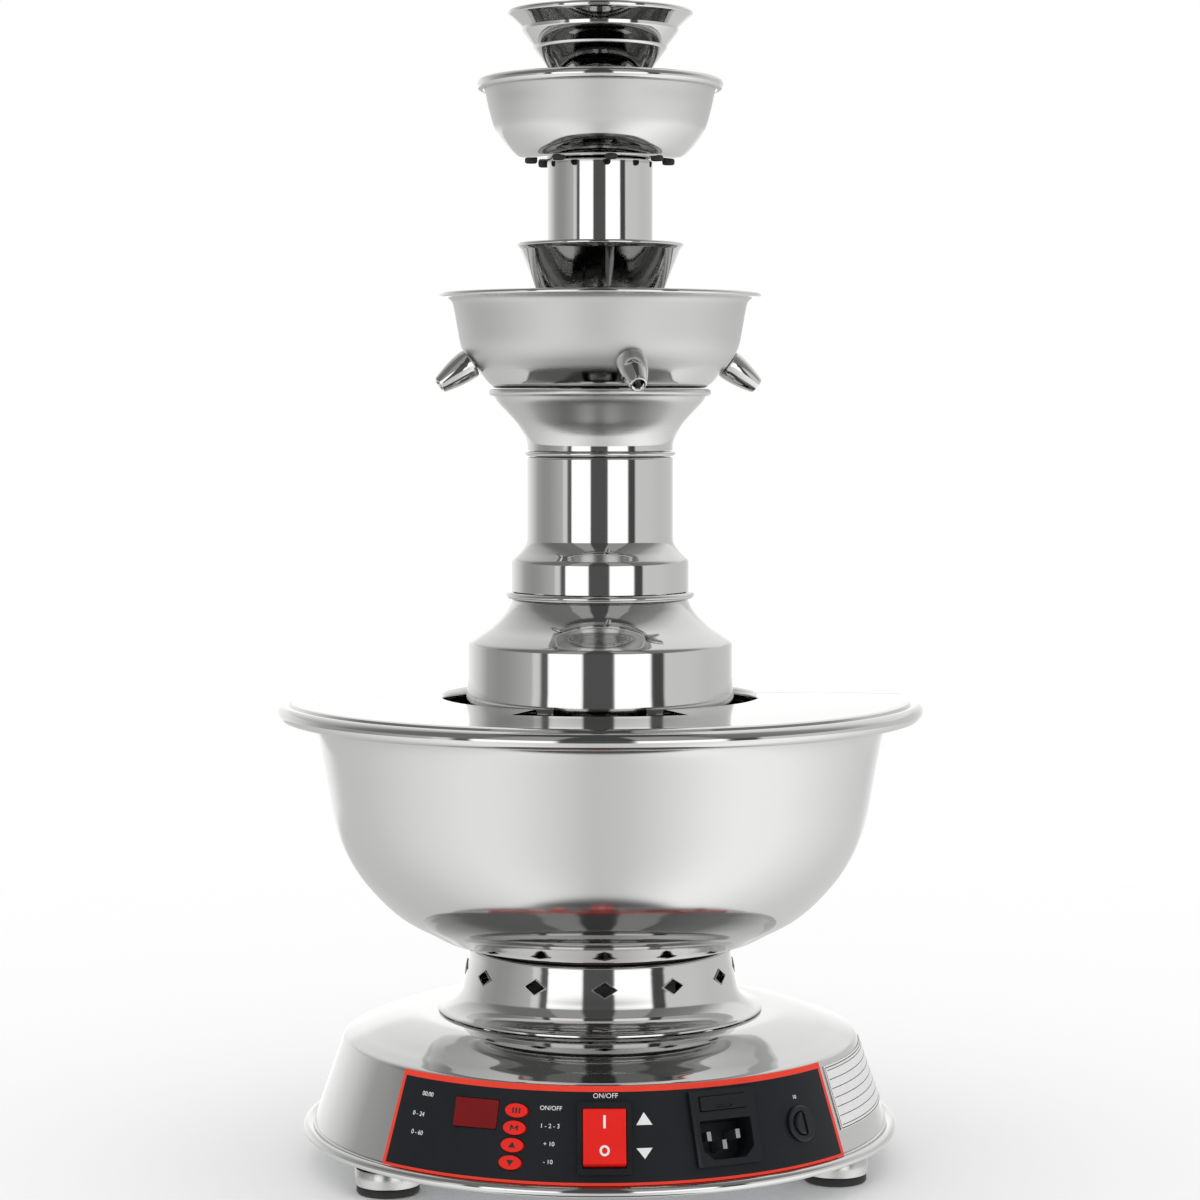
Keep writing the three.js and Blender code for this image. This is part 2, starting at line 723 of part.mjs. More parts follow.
function inletBody() {
  const front = panelFace + seat;
  const flange = slab(inletWidth, inletHeight, inletProud, 0, 0, front);
  const ridge = slab(ridgeWidth, inletHeight, inletProud + ridgeProud, (ridgeWidth - inletWidth) / 2, 0, front);
  const block = slab(inletWidth - 2 * inletBackInset, inletHeight - 2 * inletBackInset,
    inletDepth + front + bite, 0, 0, -inletDepth);
  const mouth = front + inletProud;
  const socket = plate(socketShape(socketWidth, socketHeight, socketChamfer), socketDepth + overrun,
    mouth - socketDepth).translate(0, -socketDropFromCentre, 0);
  const slots = pinPlaces().map((place) => slab(pinWidth + 2 * seat, pinHeight + 2 * seat,
    inletDepth + overrun, place.x, place.y, -inletDepth - bite));
  const drawerSlot = slab(drawerWidth + 2 * seat, drawerHeight + 2 * seat, drawerDepth + overrun,
    0, drawerRise, mouth - drawerDepth - seat);
  return cut(joined(flange, ridge, block), socket, drawerSlot, ...slots);
}

function inletPin() {
  const top = panelFace + seat + inletProud - pinInset;
  return slab(pinWidth, pinHeight, top + inletDepth + pinTab, 0, 0, -inletDepth - pinTab);
}

function fuseDrawer() {
  const mouth = panelFace + seat + inletProud;
  return slab(drawerWidth, drawerHeight, drawerDepth + drawerFace, 0, 0, mouth - drawerDepth);
}

function fuseHolderBody() {
  const front = panelFace + seat;
  const mouth = front + fuseFlangeProud;
  const bore = bored(fuseCapRadius + runningGap);
  return turned([at(0, -fuseDepth), at(fuseBarrelRadius - seat, -fuseDepth), at(fuseBarrelRadius - seat, front),
    at(fuseFlangeRadius, front), at(fuseFlangeRadius, mouth), at(bore, mouth),
    at(bore, sheet - fuseDepth), at(0, sheet - fuseDepth)], rodFacets);
}

function fuseCap() {
  const mouth = panelFace + seat + fuseFlangeProud;
  const length = fuseDepth + mouth - sheet - seat;
  const barrel = rod(fuseCapRadius, length + fuseCapProud, rodFacets, mouth - length);
  const slot = slab(fuseSlotWidth, 2 * fuseCapRadius + overrun, overrun, 0, 0,
    mouth + fuseCapProud - fuseSlotDepth);
  return cut(barrel, slot);
}

function moved(mesh, x, y, z = 0) {
  mesh.position.set(x, y, z);
  return mesh;
}

function panelGroup() {
  const group = new THREE.Group();
  group.add(piece('control_panel', controlPanel(), finishes.panel));
  const keypad = framed(keypadFrame, piece('control_board', controlBoard(), finishes.board),
    moved(piece('display_window', displayWindow(), finishes.display), displayAcross, displayRise));
  for (let i = 0; i < buttonCount; i += 1) {
    keypad.add(moved(piece(`button_${i + 1}`, button(), finishes.red), buttonAcross, buttonRise(i)));
  }
  const lever = moved(piece('rocker', rocker(), finishes.red), 0, 0,
    panelFace + seat + bezelProud - rockerDepth / 2);
  lever.rotation.x = -rockerTilt;
  const power = framed(switchFrame, piece('switch_body', switchBody(), finishes.black), lever);
  const inlet = framed(inletFrame, piece('inlet_body', inletBody(), finishes.black),
    moved(piece('inlet_fuse_drawer', fuseDrawer(), finishes.black), 0, drawerRise));
  pinPlaces().forEach((place, i) => {
    inlet.add(moved(piece(`inlet_pin_${i + 1}`, inletPin(), finishes.plated), place.x, place.y));
  });
  const fuse = framed(fuseFrame, piece('fuse_holder', fuseHolderBody(), finishes.black),
    piece('fuse_cap', fuseCap(), finishes.black));
  group.add(keypad, power, inlet, fuse);
  return group;
}

// Motor and pump

function motorStand() {
  const top = plateTop + seat + standHeight;
  const disc = rod(standPlateRadius, standPlateGauge, towerFacets, top - standPlateGauge);
  const leg = joined(
    slab(standLegWidth, standPlateGauge, standHeight, 0, standPlateGauge / 2 - standPlateRadius, plateTop + seat),
    slab(standLegWidth, standTabLength, standPlateGauge, 0, -standPlateRadius - standTabLength / 2 + standPlateGauge,
      plateTop + seat));
  const bore = rod(motorRadius / 2, overrun, rodFacets, top - standPlateGauge - bite);
  return cut(joined(disc, ...copiesAround(leg, standLegCount, Math.PI)), bore);
}

function motorCan() {
  const top = plateTop + seat + standHeight - standPlateGauge - seat;
  const waist = motorRadius - motorBandDepth;
  const bore = bored(shaftRadius + runningGap);
  return turned([
    at(0, top - motorHeight), at(waist, top - motorHeight), at(motorRadius, top - motorHeight + motorBandDepth),
    at(motorRadius, top - motorHeight + motorBandHeight), at(waist, top - motorHeight + motorBandHeight + motorBandDepth),
    at(waist, top - motorBandHeight - motorBandDepth), at(motorRadius, top - motorBandHeight),
    at(motorRadius, top), at(bore, top), at(bore, top - shaftDepth), at(0, top - shaftDepth),
  ], rodFacets);
}

function motorShaft() {
  const low = plateTop + seat + standHeight - standPlateGauge - shaftDepth;
  const high = bowlFloor + seat + impellerLift + impellerHeight;
  return rod(shaftRadius, high - low, rodFacets, low);
}

function shaftSeal() {
  const bore = bored(shaftRadius + runningGap);
  const flange = bowlFloor + seat;
  return turned([at(bore, bowlLevel - sealDrop), at(sealRadius, bowlLevel - sealDrop), at(sealRadius, flange),
    at(sealFlangeRadius, flange), at(sealFlangeRadius, flange + sealFlangeHeight),
    at(bore, flange + sealFlangeHeight)], rodFacets);
}

function pumpHousing() {
  const level = bowlFloor + seat;
  const neck = riserRadius + seat + sheet;
  const path = [
    at(pumpFlangeRadius, level), at(pumpFlangeRadius, level + sheet), at(pumpRadius, level + sheet),
    at(pumpRadius, level + pumpChamberHeight), at(neck, level + pumpChamberHeight + pumpConeHeight),
    at(neck, level + pumpChamberHeight + pumpConeHeight + pumpNeckHeight),
  ];
  const inner = [
    at(neck - sheet, level + pumpChamberHeight + pumpConeHeight + pumpNeckHeight),
    at(neck - sheet, level + pumpChamberHeight + pumpConeHeight),
    at(neck - 2 * sheet, level + pumpChamberHeight + pumpConeHeight - bite),
    at(pumpRadius - sheet, level + pumpChamberHeight - bite), at(pumpRadius - sheet, level),
  ];
  const gate = slab(pumpGateWidth, 2 * overrun, pumpGateHeight, 0, -pumpRadius, level + 2 * sheet);
  return cut(turned([...path, ...inner], rodFacets), ...copiesAround(gate, pumpGateCount));
}

function impeller() {
  const level = bowlFloor + seat + impellerLift;
  const blade = new THREE.Shape();
  const bend = (radius, side) => {
    const angle = (bladeSweep * radius) / impellerRadius;
    const x = radius * Math.cos(angle) - side * bladeGauge / 2 * Math.sin(angle);
    return at(x, radius * Math.sin(angle) + side * bladeGauge / 2 * Math.cos(angle));
  };
  const radii = [hubRadius - bite, (hubRadius + impellerRadius) / 2, impellerRadius - bite];
  blade.setFromPoints([...radii.map((r) => bend(r, -1)), ...radii.reverse().map((r) => bend(r, 1))]);
  const blades = copiesAround(plate(blade, impellerHeight - bite, level + bite), bladeCount);
  const disc = rod(impellerRadius, impellerDisc, rodFacets, level);
  const hub = rod(hubRadius, impellerHeight, rodFacets, level);
  const bore = rod(shaftRadius + seat, impellerHeight + 2 * overrun, rodFacets, level - overrun);
  return cut(joined(disc, hub, ...blades), bore);
}

function riserTube() {
  const inner = riserRadius - riserWall;
  return turned([at(inner, riserLevel), at(riserRadius, riserLevel), at(riserRadius, riserLevel + riserHeight),
    at(inner, riserLevel + riserHeight)], rodFacets);
}

// Domed head with an outlet bore, plugged into the riser's top
function outletHead() {
  const level = riserLevel + riserHeight + seat;
  const plug = riserRadius - riserWall - seat;
  return turned([at(headBoreRadius, level - headHeight), at(plug, level - headHeight), at(plug, level),
    at(riserRadius, level), ...curved([[1, 0.2], [0.85, 0.7], [0.5, 1]], riserRadius, headHeight, level, 3),
    at(headBoreRadius, level + headHeight)], rodFacets);
}

function driveGroup() {
  const group = new THREE.Group();
  group.add(piece('motor_stand', motorStand(), finishes.plated));
  group.add(piece('motor_can', motorCan(), finishes.plated));
  group.add(piece('motor_shaft', motorShaft(), finishes.brushed));
  group.add(piece('shaft_seal', shaftSeal(), finishes.rubber));
  group.add(piece('pump_housing', pumpHousing(), finishes.white));
  group.add(piece('impeller', impeller(), finishes.white));
  group.add(piece('riser_tube', riserTube(), finishes.brushed));
  group.add(piece('outlet_head', outletHead(), finishes.polished));
  return group;
}

// Large bowl and its lid

function bowl() {
  const bead = at(bowlRimRadius - bowlBeadRadius, bowlRimLevel - bowlBeadRadius);
  const path = [
    at(bowlDrainRadius, bowlLevel),
    ...curved(bowlShares, bowlNeckRadius, bowlNeckHeight, bowlLevel, 7),
    at(bead.x - 1.5 * bowlBeadRadius, bowlRimLevel - sheet),
  ];
  const rolledEnd = arc(bead, bowlBeadRadius, -Math.PI, Math.PI / 2, 3);
  return spun(path, baseFacets, { rolledEnd });
}

function lidHalf(side) {
  const flangeLevel = bowlRimLevel + seat;
  const plateLevel = flangeLevel + lidCrown - lidGauge;
  const path = [at(lidHoleRadius + lidGauge, plateLevel - lidHem + lidGauge), at(lidHoleRadius + lidGauge, plateLevel),
    at(lidPlateRadius, plateLevel), at(lidFlangeRadius, flangeLevel), at(lidRadius, flangeLevel)];
  const ring = spun(path, baseFacets, { wall: lidGauge });
  const reach = 2 * lidRadius;
  const half = slab(2 * reach, reach, 4 * overrun, 0, side * (reach + lidSeam) / 2, plateLevel - 2 * overrun);
  const body = common(ring, half);
  return side > 0 ? body : slotted(body, plateLevel);
}

// The front half's serving slot, from the middle hole outwards, with a hem turned down round it
function slotted(body, plateLevel) {
  const opening = (grow) => common(
    rod(slotEndRadius + grow, 4 * overrun, baseFacets, plateLevel - 2 * overrun),
    wedge(slotTurn, slotSpread + (2 * grow) / lidHoleRadius, 2 * lidRadius, 4 * overrun, plateLevel - 2 * overrun));
  const hem = slab(2 * lidRadius, 2 * lidRadius, lidHem, 0, 0, plateLevel - lidHem + lidGauge);
  const block = cut(common(opening(lidGauge), hem), rod(lidHoleRadius, 4 * overrun, baseFacets, plateLevel - 2 * overrun));
  return cut(joined(body, block), opening(0));
}

function bowlGroup() {
  const group = new THREE.Group();
  group.add(piece('bowl', bowl(), finishes.polished));
  const lid = new THREE.Group();
  lid.rotation.z = lidTurn;
  lid.add(piece('lid_front', lidHalf(-1), finishes.polished));
  lid.add(piece('lid_back', lidHalf(1), finishes.polished));
  group.add(lid);
  return group;
}

// Tower

function pedestalDrum() {
  const shoulder = drumLevel + drumWallHeight;
  const path = [
    at(drumRadius, drumLevel),
    ...curved(drumShoulderShares, drumRadius, drumShoulderHeight - sheet, shoulder, 4),
    at(drumTopRadius - sheet, drumTopLevel),
    at(drumLipRadius, drumTopLevel),
  ];
  const gate = slab(drumGateWidth, 2 * overrun, drumGateHeight + overrun, 0, -drumRadius, drumLevel - overrun);
  return cut(spun(path, towerFacets), ...copiesAround(gate, drumGateCount, Math.PI / drumGateCount));
}

function jointRing(radius, height, level) {
  const inner = radius - ringWidth;
  return turned([at(inner, level), at(radius - ringRounding, level), at(radius, level + height / 2),
    at(radius - ringRounding, level + height), at(inner, level + height)], towerFacets);
}

function column() {
  const shoulder = columnLevel + columnFootHeight;
  const neck = shoulder + columnShoulderHeight;
  const path = [
    at(columnFootRadius, columnLevel), at(columnFootRadius, shoulder),
    at((columnFootRadius + columnRadius) / 2, shoulder + columnShoulderHeight / 4),
    at(columnRadius, neck), at(columnRadius, columnTopLevel), at(columnLipRadius, columnTopLevel),
  ];
  return spun(path, towerFacets);
}

function trumpet() {
  const bead = at(trumpetRadius - trumpetBeadRadius, trumpetTopLevel - trumpetBeadRadius);
  const path = curved(trumpetShares, bead.x, trumpetHeight - 2 * trumpetBeadRadius, trumpetLevel, 4);
  const rolledEnd = arc(bead, trumpetBeadRadius, -Math.PI / 3, Math.PI / 2, 2);
  return spun(path, towerFacets, { rolledEnd });
}

const midBowlWall = new THREE.SplineCurve(midBowlShares.map(([across, up]) => at(
  across * midBowlNeckRadius, midBowlLevel + up * midBowlNeckHeight)));

// A bowl round the riser, its rim flared out to a small bead
function flaredBowl(wall, rim, rimLevel) {
  const rolledEnd = arc(at(rim - smallBeadRadius, rimLevel - smallBeadRadius), smallBeadRadius,
    -Math.PI / 2, Math.PI / 2, 2);
  return spun([at(riserRadius + seat, wall[0].y), ...wall], towerFacets, { rolledEnd });
}

function tapFrame(turn) {
  const place = midBowlWall.getPointAt(tapSeatShare);
  const run = midBowlWall.getTangentAt(tapSeatShare);
  const out = new THREE.Vector3(run.y * Math.sin(turn), -run.y * Math.cos(turn), -run.x);
  const side = new THREE.Vector3(Math.cos(turn), Math.sin(turn), 0);
  return new THREE.Matrix4().makeBasis(side, out.clone().cross(side), out)
    .setPosition(place.x * Math.sin(turn), -place.x * Math.cos(turn), place.y);
}

const tapTurns = Array.from({ length: tapCount }, (_, i) => tapTurn + (i * 2 * Math.PI) / tapCount);

function midBowl() {
  const shell = flaredBowl(midBowlWall.getPoints(5), midBowlRimRadius, midBowlLevel + midBowlHeight);
  const drills = tapTurns.map((turn) => rod(tapStemRadius + seat, 2 * overrun, smallFacets, -overrun)
    .applyMatrix4(tapFrame(turn)));
  return cut(shell, ...drills);
}

function tap() {
  return turned([at(tapBoreRadius, seat - tapStemLength), at(tapStemRadius, seat - tapStemLength),
    at(tapStemRadius, seat + bite), at(tapRadius - bite, seat + bite),
    ...curved(tapShares, tapRadius, tapLength - bite, seat + bite, 4), at(tapBoreRadius, tapLength)], smallFacets);
}

function tapNut() {
  const low = -tapStemLength + tapNutHeight;
  const bore = (tapStemRadius + seat) / Math.cos(Math.PI / 6);
  return turned([at(bore, low - tapNutHeight), at(tapNutRadius, low - tapNutHeight), at(tapNutRadius, low),
    at(bore, low)], 6);
}

// A cup on a stem: its floor carries what stands in it
function stemmedCup(level, stemRadius, floorRadius, floorHeight, rimRadius, height, bead) {
  const floor = level + floorHeight;
  const path = [at(stemRadius, level), at(stemRadius, floor), at(floorRadius, floor),
    at(rimRadius - bead, level + height - bead), at(rimRadius, level + height - bead / 2),
    at(rimRadius - bead / 2, level + height)];
  const inner = [at(rimRadius - bead - sheet, level + height), at(floorRadius - sheet / 2, floor + sheet),
    at(stemRadius - sheet, floor + sheet), at(stemRadius - sheet, level)];
  return turned([...path, ...inner], towerFacets);
}

function upperColumn() {
  const top = upperColumnLevel + upperColumnHeight;
  const path = [at(upperColumnRadius, upperColumnLevel), at(upperColumnRadius, top), at(upperLipRadius, top)];
  return spun(path, towerFacets);
}

function upperBowl() {
  const wall = curved(upperBowlShares, upperBowlNeckRadius, upperBowlNeckHeight, upperBowlLevel, 4);
  const shell = flaredBowl(wall, upperBowlRimRadius, upperBowlLevel + upperBowlHeight);
  const boss = rod(spoutRadius, spoutDrop + sheet / 2, spoutFacets, upperBowlLevel - spoutDrop)
    .translate(0, -spoutCircle, 0);
  const drill = rod(spoutBoreRadius, 2 * overrun, spoutFacets, upperBowlLevel - overrun)
    .translate(0, -spoutCircle, 0);
  return cut(joined(shell, ...copiesAround(boss, spoutCount, spoutTurn)),
    ...copiesAround(drill, spoutCount, spoutTurn));
}

function towerGroup() {
  const group = new THREE.Group();
  group.add(piece('pedestal_drum', pedestalDrum(), finishes.polished));
  group.add(piece('joint_ring_lower', jointRing(lowerRingRadius, lowerRingHeight, lowerRingLevel), finishes.polished));
  group.add(piece('column', column(), finishes.polished));
  group.add(piece('joint_ring_upper', jointRing(upperRingRadius, upperRingHeight, upperRingLevel), finishes.polished));
  group.add(piece('trumpet', trumpet(), finishes.polished));
  group.add(piece('mid_bowl', midBowl(), finishes.polished));
  tapTurns.forEach((turn, i) => {
    group.add(framed(tapFrame(turn), piece(`tap_${i + 1}`, tap(), finishes.polished),
      piece(`tap_nut_${i + 1}`, tapNut(), finishes.plated)));
  });
  group.add(piece('catch_cup', stemmedCup(catchLevel, cupStemRadius, cupFloorRadius, cupFloorHeight,
    catchRimRadius, catchHeight, smallBeadRadius), finishes.polished));
  group.add(piece('upper_column', upperColumn(), finishes.polished));
  group.add(piece('upper_bowl', upperBowl(), finishes.polished));
  group.add(piece('crown_cup', stemmedCup(crownLevel, crownStemRadius, crownStemRadius + bite, crownFloorHeight,
    crownRimRadius, crownHeight, crownBead), finishes.polished));
  return group;
}

export default fountain();
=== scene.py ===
import math

import bmesh
import bpy
from mathutils import Matrix, Vector


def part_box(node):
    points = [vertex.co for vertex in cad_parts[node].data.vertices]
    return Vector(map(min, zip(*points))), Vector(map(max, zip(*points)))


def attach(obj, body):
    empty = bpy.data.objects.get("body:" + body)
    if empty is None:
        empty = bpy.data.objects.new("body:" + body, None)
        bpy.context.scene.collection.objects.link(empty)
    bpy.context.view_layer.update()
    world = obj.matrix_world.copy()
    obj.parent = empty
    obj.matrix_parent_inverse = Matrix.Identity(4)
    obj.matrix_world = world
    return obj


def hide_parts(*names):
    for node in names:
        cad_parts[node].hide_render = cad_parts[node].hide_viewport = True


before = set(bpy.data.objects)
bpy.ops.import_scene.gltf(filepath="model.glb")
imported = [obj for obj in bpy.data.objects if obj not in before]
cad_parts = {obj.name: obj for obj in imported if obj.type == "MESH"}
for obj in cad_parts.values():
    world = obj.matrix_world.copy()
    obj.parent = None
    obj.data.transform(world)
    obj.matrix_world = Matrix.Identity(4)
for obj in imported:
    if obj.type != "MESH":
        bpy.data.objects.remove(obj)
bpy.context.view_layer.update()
MM = 0.001
TOUCHING = 2e-6  # metres, the distance below which two vertices are one
turn = math.radians


# Hand tools: each one works on a single piece, with nothing else selected

def only(piece):
    bpy.ops.object.select_all(action="DESELECT")
    piece.select_set(True)
    bpy.context.view_layer.objects.active = piece


def start(name):
    """One loose vertex at the origin, open in edit mode."""
    bpy.ops.object.select_all(action="DESELECT")
    bpy.ops.mesh.primitive_plane_add(size=MM)
    piece = bpy.context.object
    piece.name = name
    bpy.ops.object.mode_set(mode="EDIT")
    bpy.ops.mesh.select_all(action="SELECT")
    bpy.ops.mesh.merge(type="CENTER")
    return piece


def draw(path, level=0.0):
    """Extrudes the vertex along a path of (radius, height) in millimetres."""
    bpy.ops.transform.translate(value=(path[0][0] * MM, 0, (level + path[0][1]) * MM))
    for (r0, z0), (r1, z1) in zip(path, path[1:]):
        bpy.ops.mesh.extrude_region_move(
            TRANSFORM_OT_translate={"value": ((r1 - r0) * MM, 0, (z1 - z0) * MM)})


def settle(piece, outer=None, angle=35, wall=0.0, level=0.0):
    """Merges the doubles, turns the faces outwards, gives the wall its thickness and shades it."""
    bpy.ops.mesh.select_all(action="SELECT")
    bpy.ops.mesh.remove_doubles(threshold=TOUCHING)
    bpy.ops.mesh.normals_make_consistent(inside=False)
    if outer:  # its longest stretch tells which side faces out
        (r0, z0), (r1, z1) = max(zip(outer, outer[1:]), key=lambda s: math.dist(*s))
        middle = ((r0 + r1) / 2 * MM, (level + (z0 + z1) / 2) * MM)
        shape = bmesh.from_edit_mesh(piece.data)
        shape.faces.ensure_lookup_table()
        near = min(shape.faces, key=lambda f: math.dist(
            middle, (f.calc_center_median().xy.length, f.calc_center_median().z)))
        centre = near.calc_center_median()
        across = Vector((centre.x, centre.y, 0)).normalized()
        facing = near.normal.dot(across) * (z1 - z0) - near.normal.z * (r1 - r0)
        if facing < 0:
            bpy.ops.mesh.flip_normals()
    bpy.ops.object.mode_set(mode="OBJECT")
    if wall:
        finish(piece, "SOLIDIFY", thickness=wall * MM, offset=-1, use_even_offset=True)
    smooth(piece, angle)
    return piece


def finish(piece, kind, **settings):
    """Adds a modifier and applies it."""
    only(piece)
    modifier = piece.modifiers.new(kind.title(), kind)
    for key, value in settings.items():
        setattr(modifier, key, value)
    bpy.ops.object.modifier_apply(modifier=modifier.name)
    return piece


def smooth(piece, angle=35):
    only(piece)
    bpy.ops.object.shade_smooth_by_angle(angle=turn(angle))
    return piece


def spun(name, path, level=0.0, wall=1.2, steps=96, sweep=360.0, start_at=0.0, angle=35):
    """A sheet spun round the tower's axis. Its outer face follows the path."""
    piece = start(name)
    draw(path, level)
    if start_at:
        bpy.ops.mesh.select_all(action="SELECT")
        c, s = math.cos(turn(start_at)), math.sin(turn(start_at))
        shape = bmesh.from_edit_mesh(piece.data)
        for vertex in shape.verts:
            vertex.co = Vector((vertex.co.x * c, vertex.co.x * s, vertex.co.z))
    bpy.ops.mesh.select_all(action="SELECT")
    bpy.ops.mesh.spin(steps=steps, angle=-turn(sweep), center=(0, 0, 0), axis=(0, 0, 1))
    return settle(piece, path, angle, wall, level)


def turned(name, loop, level=0.0, steps=48, angle=35):
    """A solid turned from a closed outline, or from one that starts and ends on the axis."""
    path = list(loop)
    if path[0][0] > 0 or path[-1][0] > 0:
        path.append(path[0])
    piece = start(name)
    draw(path, level)
    bpy.ops.mesh.select_all(action="SELECT")
    bpy.ops.mesh.spin(steps=steps, angle=turn(360), center=(0, 0, 0), axis=(0, 0, 1))
    return settle(piece, None, angle)


def block(name, size, place, bevel=0.0, segments=3):
    """A rounded block, its middle at a place, in millimetres."""
    bpy.ops.object.select_all(action="DESELECT")
    bpy.ops.mesh.primitive_cube_add(size=MM)
    piece = bpy.context.object
    piece.name = name
    bpy.ops.object.mode_set(mode="EDIT")
    bpy.ops.mesh.select_all(action="SELECT")
    bpy.ops.transform.resize(value=size)
    bpy.ops.transform.translate(value=Vector(place) * MM)
    if bevel:
        bpy.ops.mesh.bevel(offset=bevel * MM, segments=segments, profile=0.5, affect="EDGES")
    bpy.ops.object.mode_set(mode="OBJECT")
    return smooth(piece, 40)


def prism(name, outline, depth, low=0.0, bevel=0.0, segments=2):
    """A flat outline raised to a depth, its upper edges rounded."""
    piece = start(name)
    bpy.ops.transform.translate(value=(outline[0][0] * MM, outline[0][1] * MM, low * MM))
    for (x0, y0), (x1, y1) in zip(outline, list(outline[1:]) + [outline[0]]):
        bpy.ops.mesh.extrude_region_move(
            TRANSFORM_OT_translate={"value": ((x1 - x0) * MM, (y1 - y0) * MM, 0)})
    bpy.ops.mesh.select_all(action="SELECT")
    bpy.ops.mesh.remove_doubles(threshold=TOUCHING)
    bpy.ops.mesh.edge_face_add()
    bpy.ops.mesh.select_all(action="SELECT")
    bpy.ops.mesh.extrude_region_move(TRANSFORM_OT_translate={"value": (0, 0, depth * MM)})
    bpy.ops.mesh.select_all(action="SELECT")
    bpy.ops.mesh.normals_make_consistent(inside=False)
    if bevel:
        shape = bmesh.from_edit_mesh(piece.data)
        for edge in shape.edges:
            edge.select = all(v.co.z > (low + depth / 2) * MM for v in edge.verts)
        shape.select_flush_mode()
        bpy.ops.mesh.bevel(offset=bevel * MM, segments=segments, profile=0.5, affect="EDGES")
    bpy.ops.object.mode_set(mode="OBJECT")
    return smooth(piece, 40)


def widened(size, play):
    """A width and a height with the play added on every side."""
    return tuple(extent + 2 * play for extent in size)


def put(piece, matrix):
    """Moves a finished piece to its place and keeps that place in its mesh."""
    only(piece)
    piece.matrix_world = matrix
    bpy.ops.object.transform_apply(location=True, rotation=True, scale=True)
    return piece


def copied(piece, name):
    twin = piece.copy()
    twin.data = piece.data.copy()
    twin.name = name
    bpy.context.scene.collection.objects.link(twin)
    return twin


def joined(name, *pieces):
    bpy.ops.object.select_all(action="DESELECT")
    for piece in pieces:
        piece.select_set(True)
    bpy.context.view_layer.objects.active = pieces[0]
    if len(pieces) > 1:
        bpy.ops.object.join()
    pieces[0].name = name
    return pieces[0]


def carved(piece, *cutters):
    for cutter in cutters:
        finish(piece, "BOOLEAN", operation="DIFFERENCE", solver="EXACT", object=cutter)
        bpy.data.objects.remove(cutter)
    return smooth(piece)


def united(name, piece, other):
    """Two solids that overlap made into one."""
    finish(piece, "BOOLEAN", operation="UNION", solver="EXACT", object=other)
    bpy.data.objects.remove(other)
    piece.name = name
    return smooth(piece)


def lettering(name, words, height, place, raised=0.06):
    bpy.ops.object.select_all(action="DESELECT")
    bpy.ops.object.text_add()
    text = bpy.context.object
    text.name = name
    text.data.body = words
    text.data.size = height * MM
    text.data.align_x = "CENTER"
    text.data.align_y = "CENTER"
    text.data.extrude = raised * MM
    text.data.resolution_u = 4
    bpy.ops.object.convert(target="MESH")
    return put(bpy.context.object, Matrix.Translation(Vector(place) * MM))


# Curves of the spun walls

def flowing(points, each=6):
    """A smooth path through points (Catmull-Rom)."""
    ends = [tuple(2 * a - b for a, b in zip(points[0], points[1]))]
    tail = [tuple(2 * a - b for a, b in zip(points[-1], points[-2]))]
    p = ends + list(points) + tail
    path = []
    for i in range(1, len(p) - 2):
        for k in range(each):
            t = k / each
            path.append(tuple(
                0.5 * (2 * p[i][d] + (p[i + 1][d] - p[i - 1][d]) * t
                       + (2 * p[i - 1][d] - 5 * p[i][d] + 4 * p[i + 1][d] - p[i + 2][d]) * t * t
                       + (3 * p[i][d] - p[i - 1][d] - 3 * p[i + 1][d] + p[i + 2][d]) * t ** 3)
                for d in (0, 1)))
    return path + [tuple(points[-1])]


def arc(centre, radius, first, last, count=8):
    return [(centre[0] + radius * math.cos(turn(first + (last - first) * i / count)),
             centre[1] + radius * math.sin(turn(first + (last - first) * i / count)))
            for i in range(count + 1)]


def foot_level(node):
    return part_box(node)[0].z / MM


def standing(azimuth, radius, level=0.0):
    """A place beside the tower's axis. Azimuth 0 is the front."""
    a = turn(azimuth)
    return Matrix.Translation(Vector((radius * math.sin(a), -radius * math.cos(a), level)) * MM)


def facing_out(azimuth, lean, radius, level):
    """x runs round the axis, y up the wall and z out of it, lifted by the lean in radians."""
    a = turn(azimuth)
    run = Vector((math.cos(a), math.sin(a), 0))
    out = Vector((math.sin(a) * math.cos(lean), -math.cos(a) * math.cos(lean), math.sin(lean)))
    matrix = Matrix((run, out.cross(run), out)).transposed().to_4x4()
    matrix.translation = standing(azimuth, radius, level).translation
    return matrix


# The skirt, where the panel and its fittings sit

CREASE_RADIUS, SKIRT_FOOT_RADIUS, SKIRT_RISE = 120.9, 135.2, 40.7
CREASE_LEVEL = 59.6
SKIRT_SPREAD = SKIRT_FOOT_RADIUS - CREASE_RADIUS
SKIRT_SLANT = math.hypot(SKIRT_SPREAD, SKIRT_RISE)
SKIRT_LEAN = math.atan2(SKIRT_SPREAD, SKIRT_RISE)
SKIRT_MIDDLE_RADIUS = 130.0
PANEL_FACE = 1.9
FITTING_FACE = PANEL_FACE + 0.3
PANEL_MIDDLE, PANEL_HALF_SPREAD, PANEL_TOP, PANEL_BOTTOM = -0.5, 49.0, 0.0, 42.8
PLATE_MIDDLE, PLATE_HALF_SPREAD, PLATE_TOP, PLATE_BOTTOM = 69.0, 18.0, 2.8, 32.0


def skirt_point(drop, proud=0.0):
    """Radius and level of a point so far down the skirt and so far out of it."""
    return (CREASE_RADIUS + SKIRT_SPREAD * drop / SKIRT_SLANT + proud * math.cos(SKIRT_LEAN),
            CREASE_LEVEL - SKIRT_RISE * drop / SKIRT_SLANT + proud * math.sin(SKIRT_LEAN))


def on_skirt(azimuth, drop):
    return facing_out(azimuth, SKIRT_LEAN, *skirt_point(drop))


def above(matrix, x, y, z=0.0):
    return matrix @ Matrix.Translation(Vector((x, y, z)) * MM)


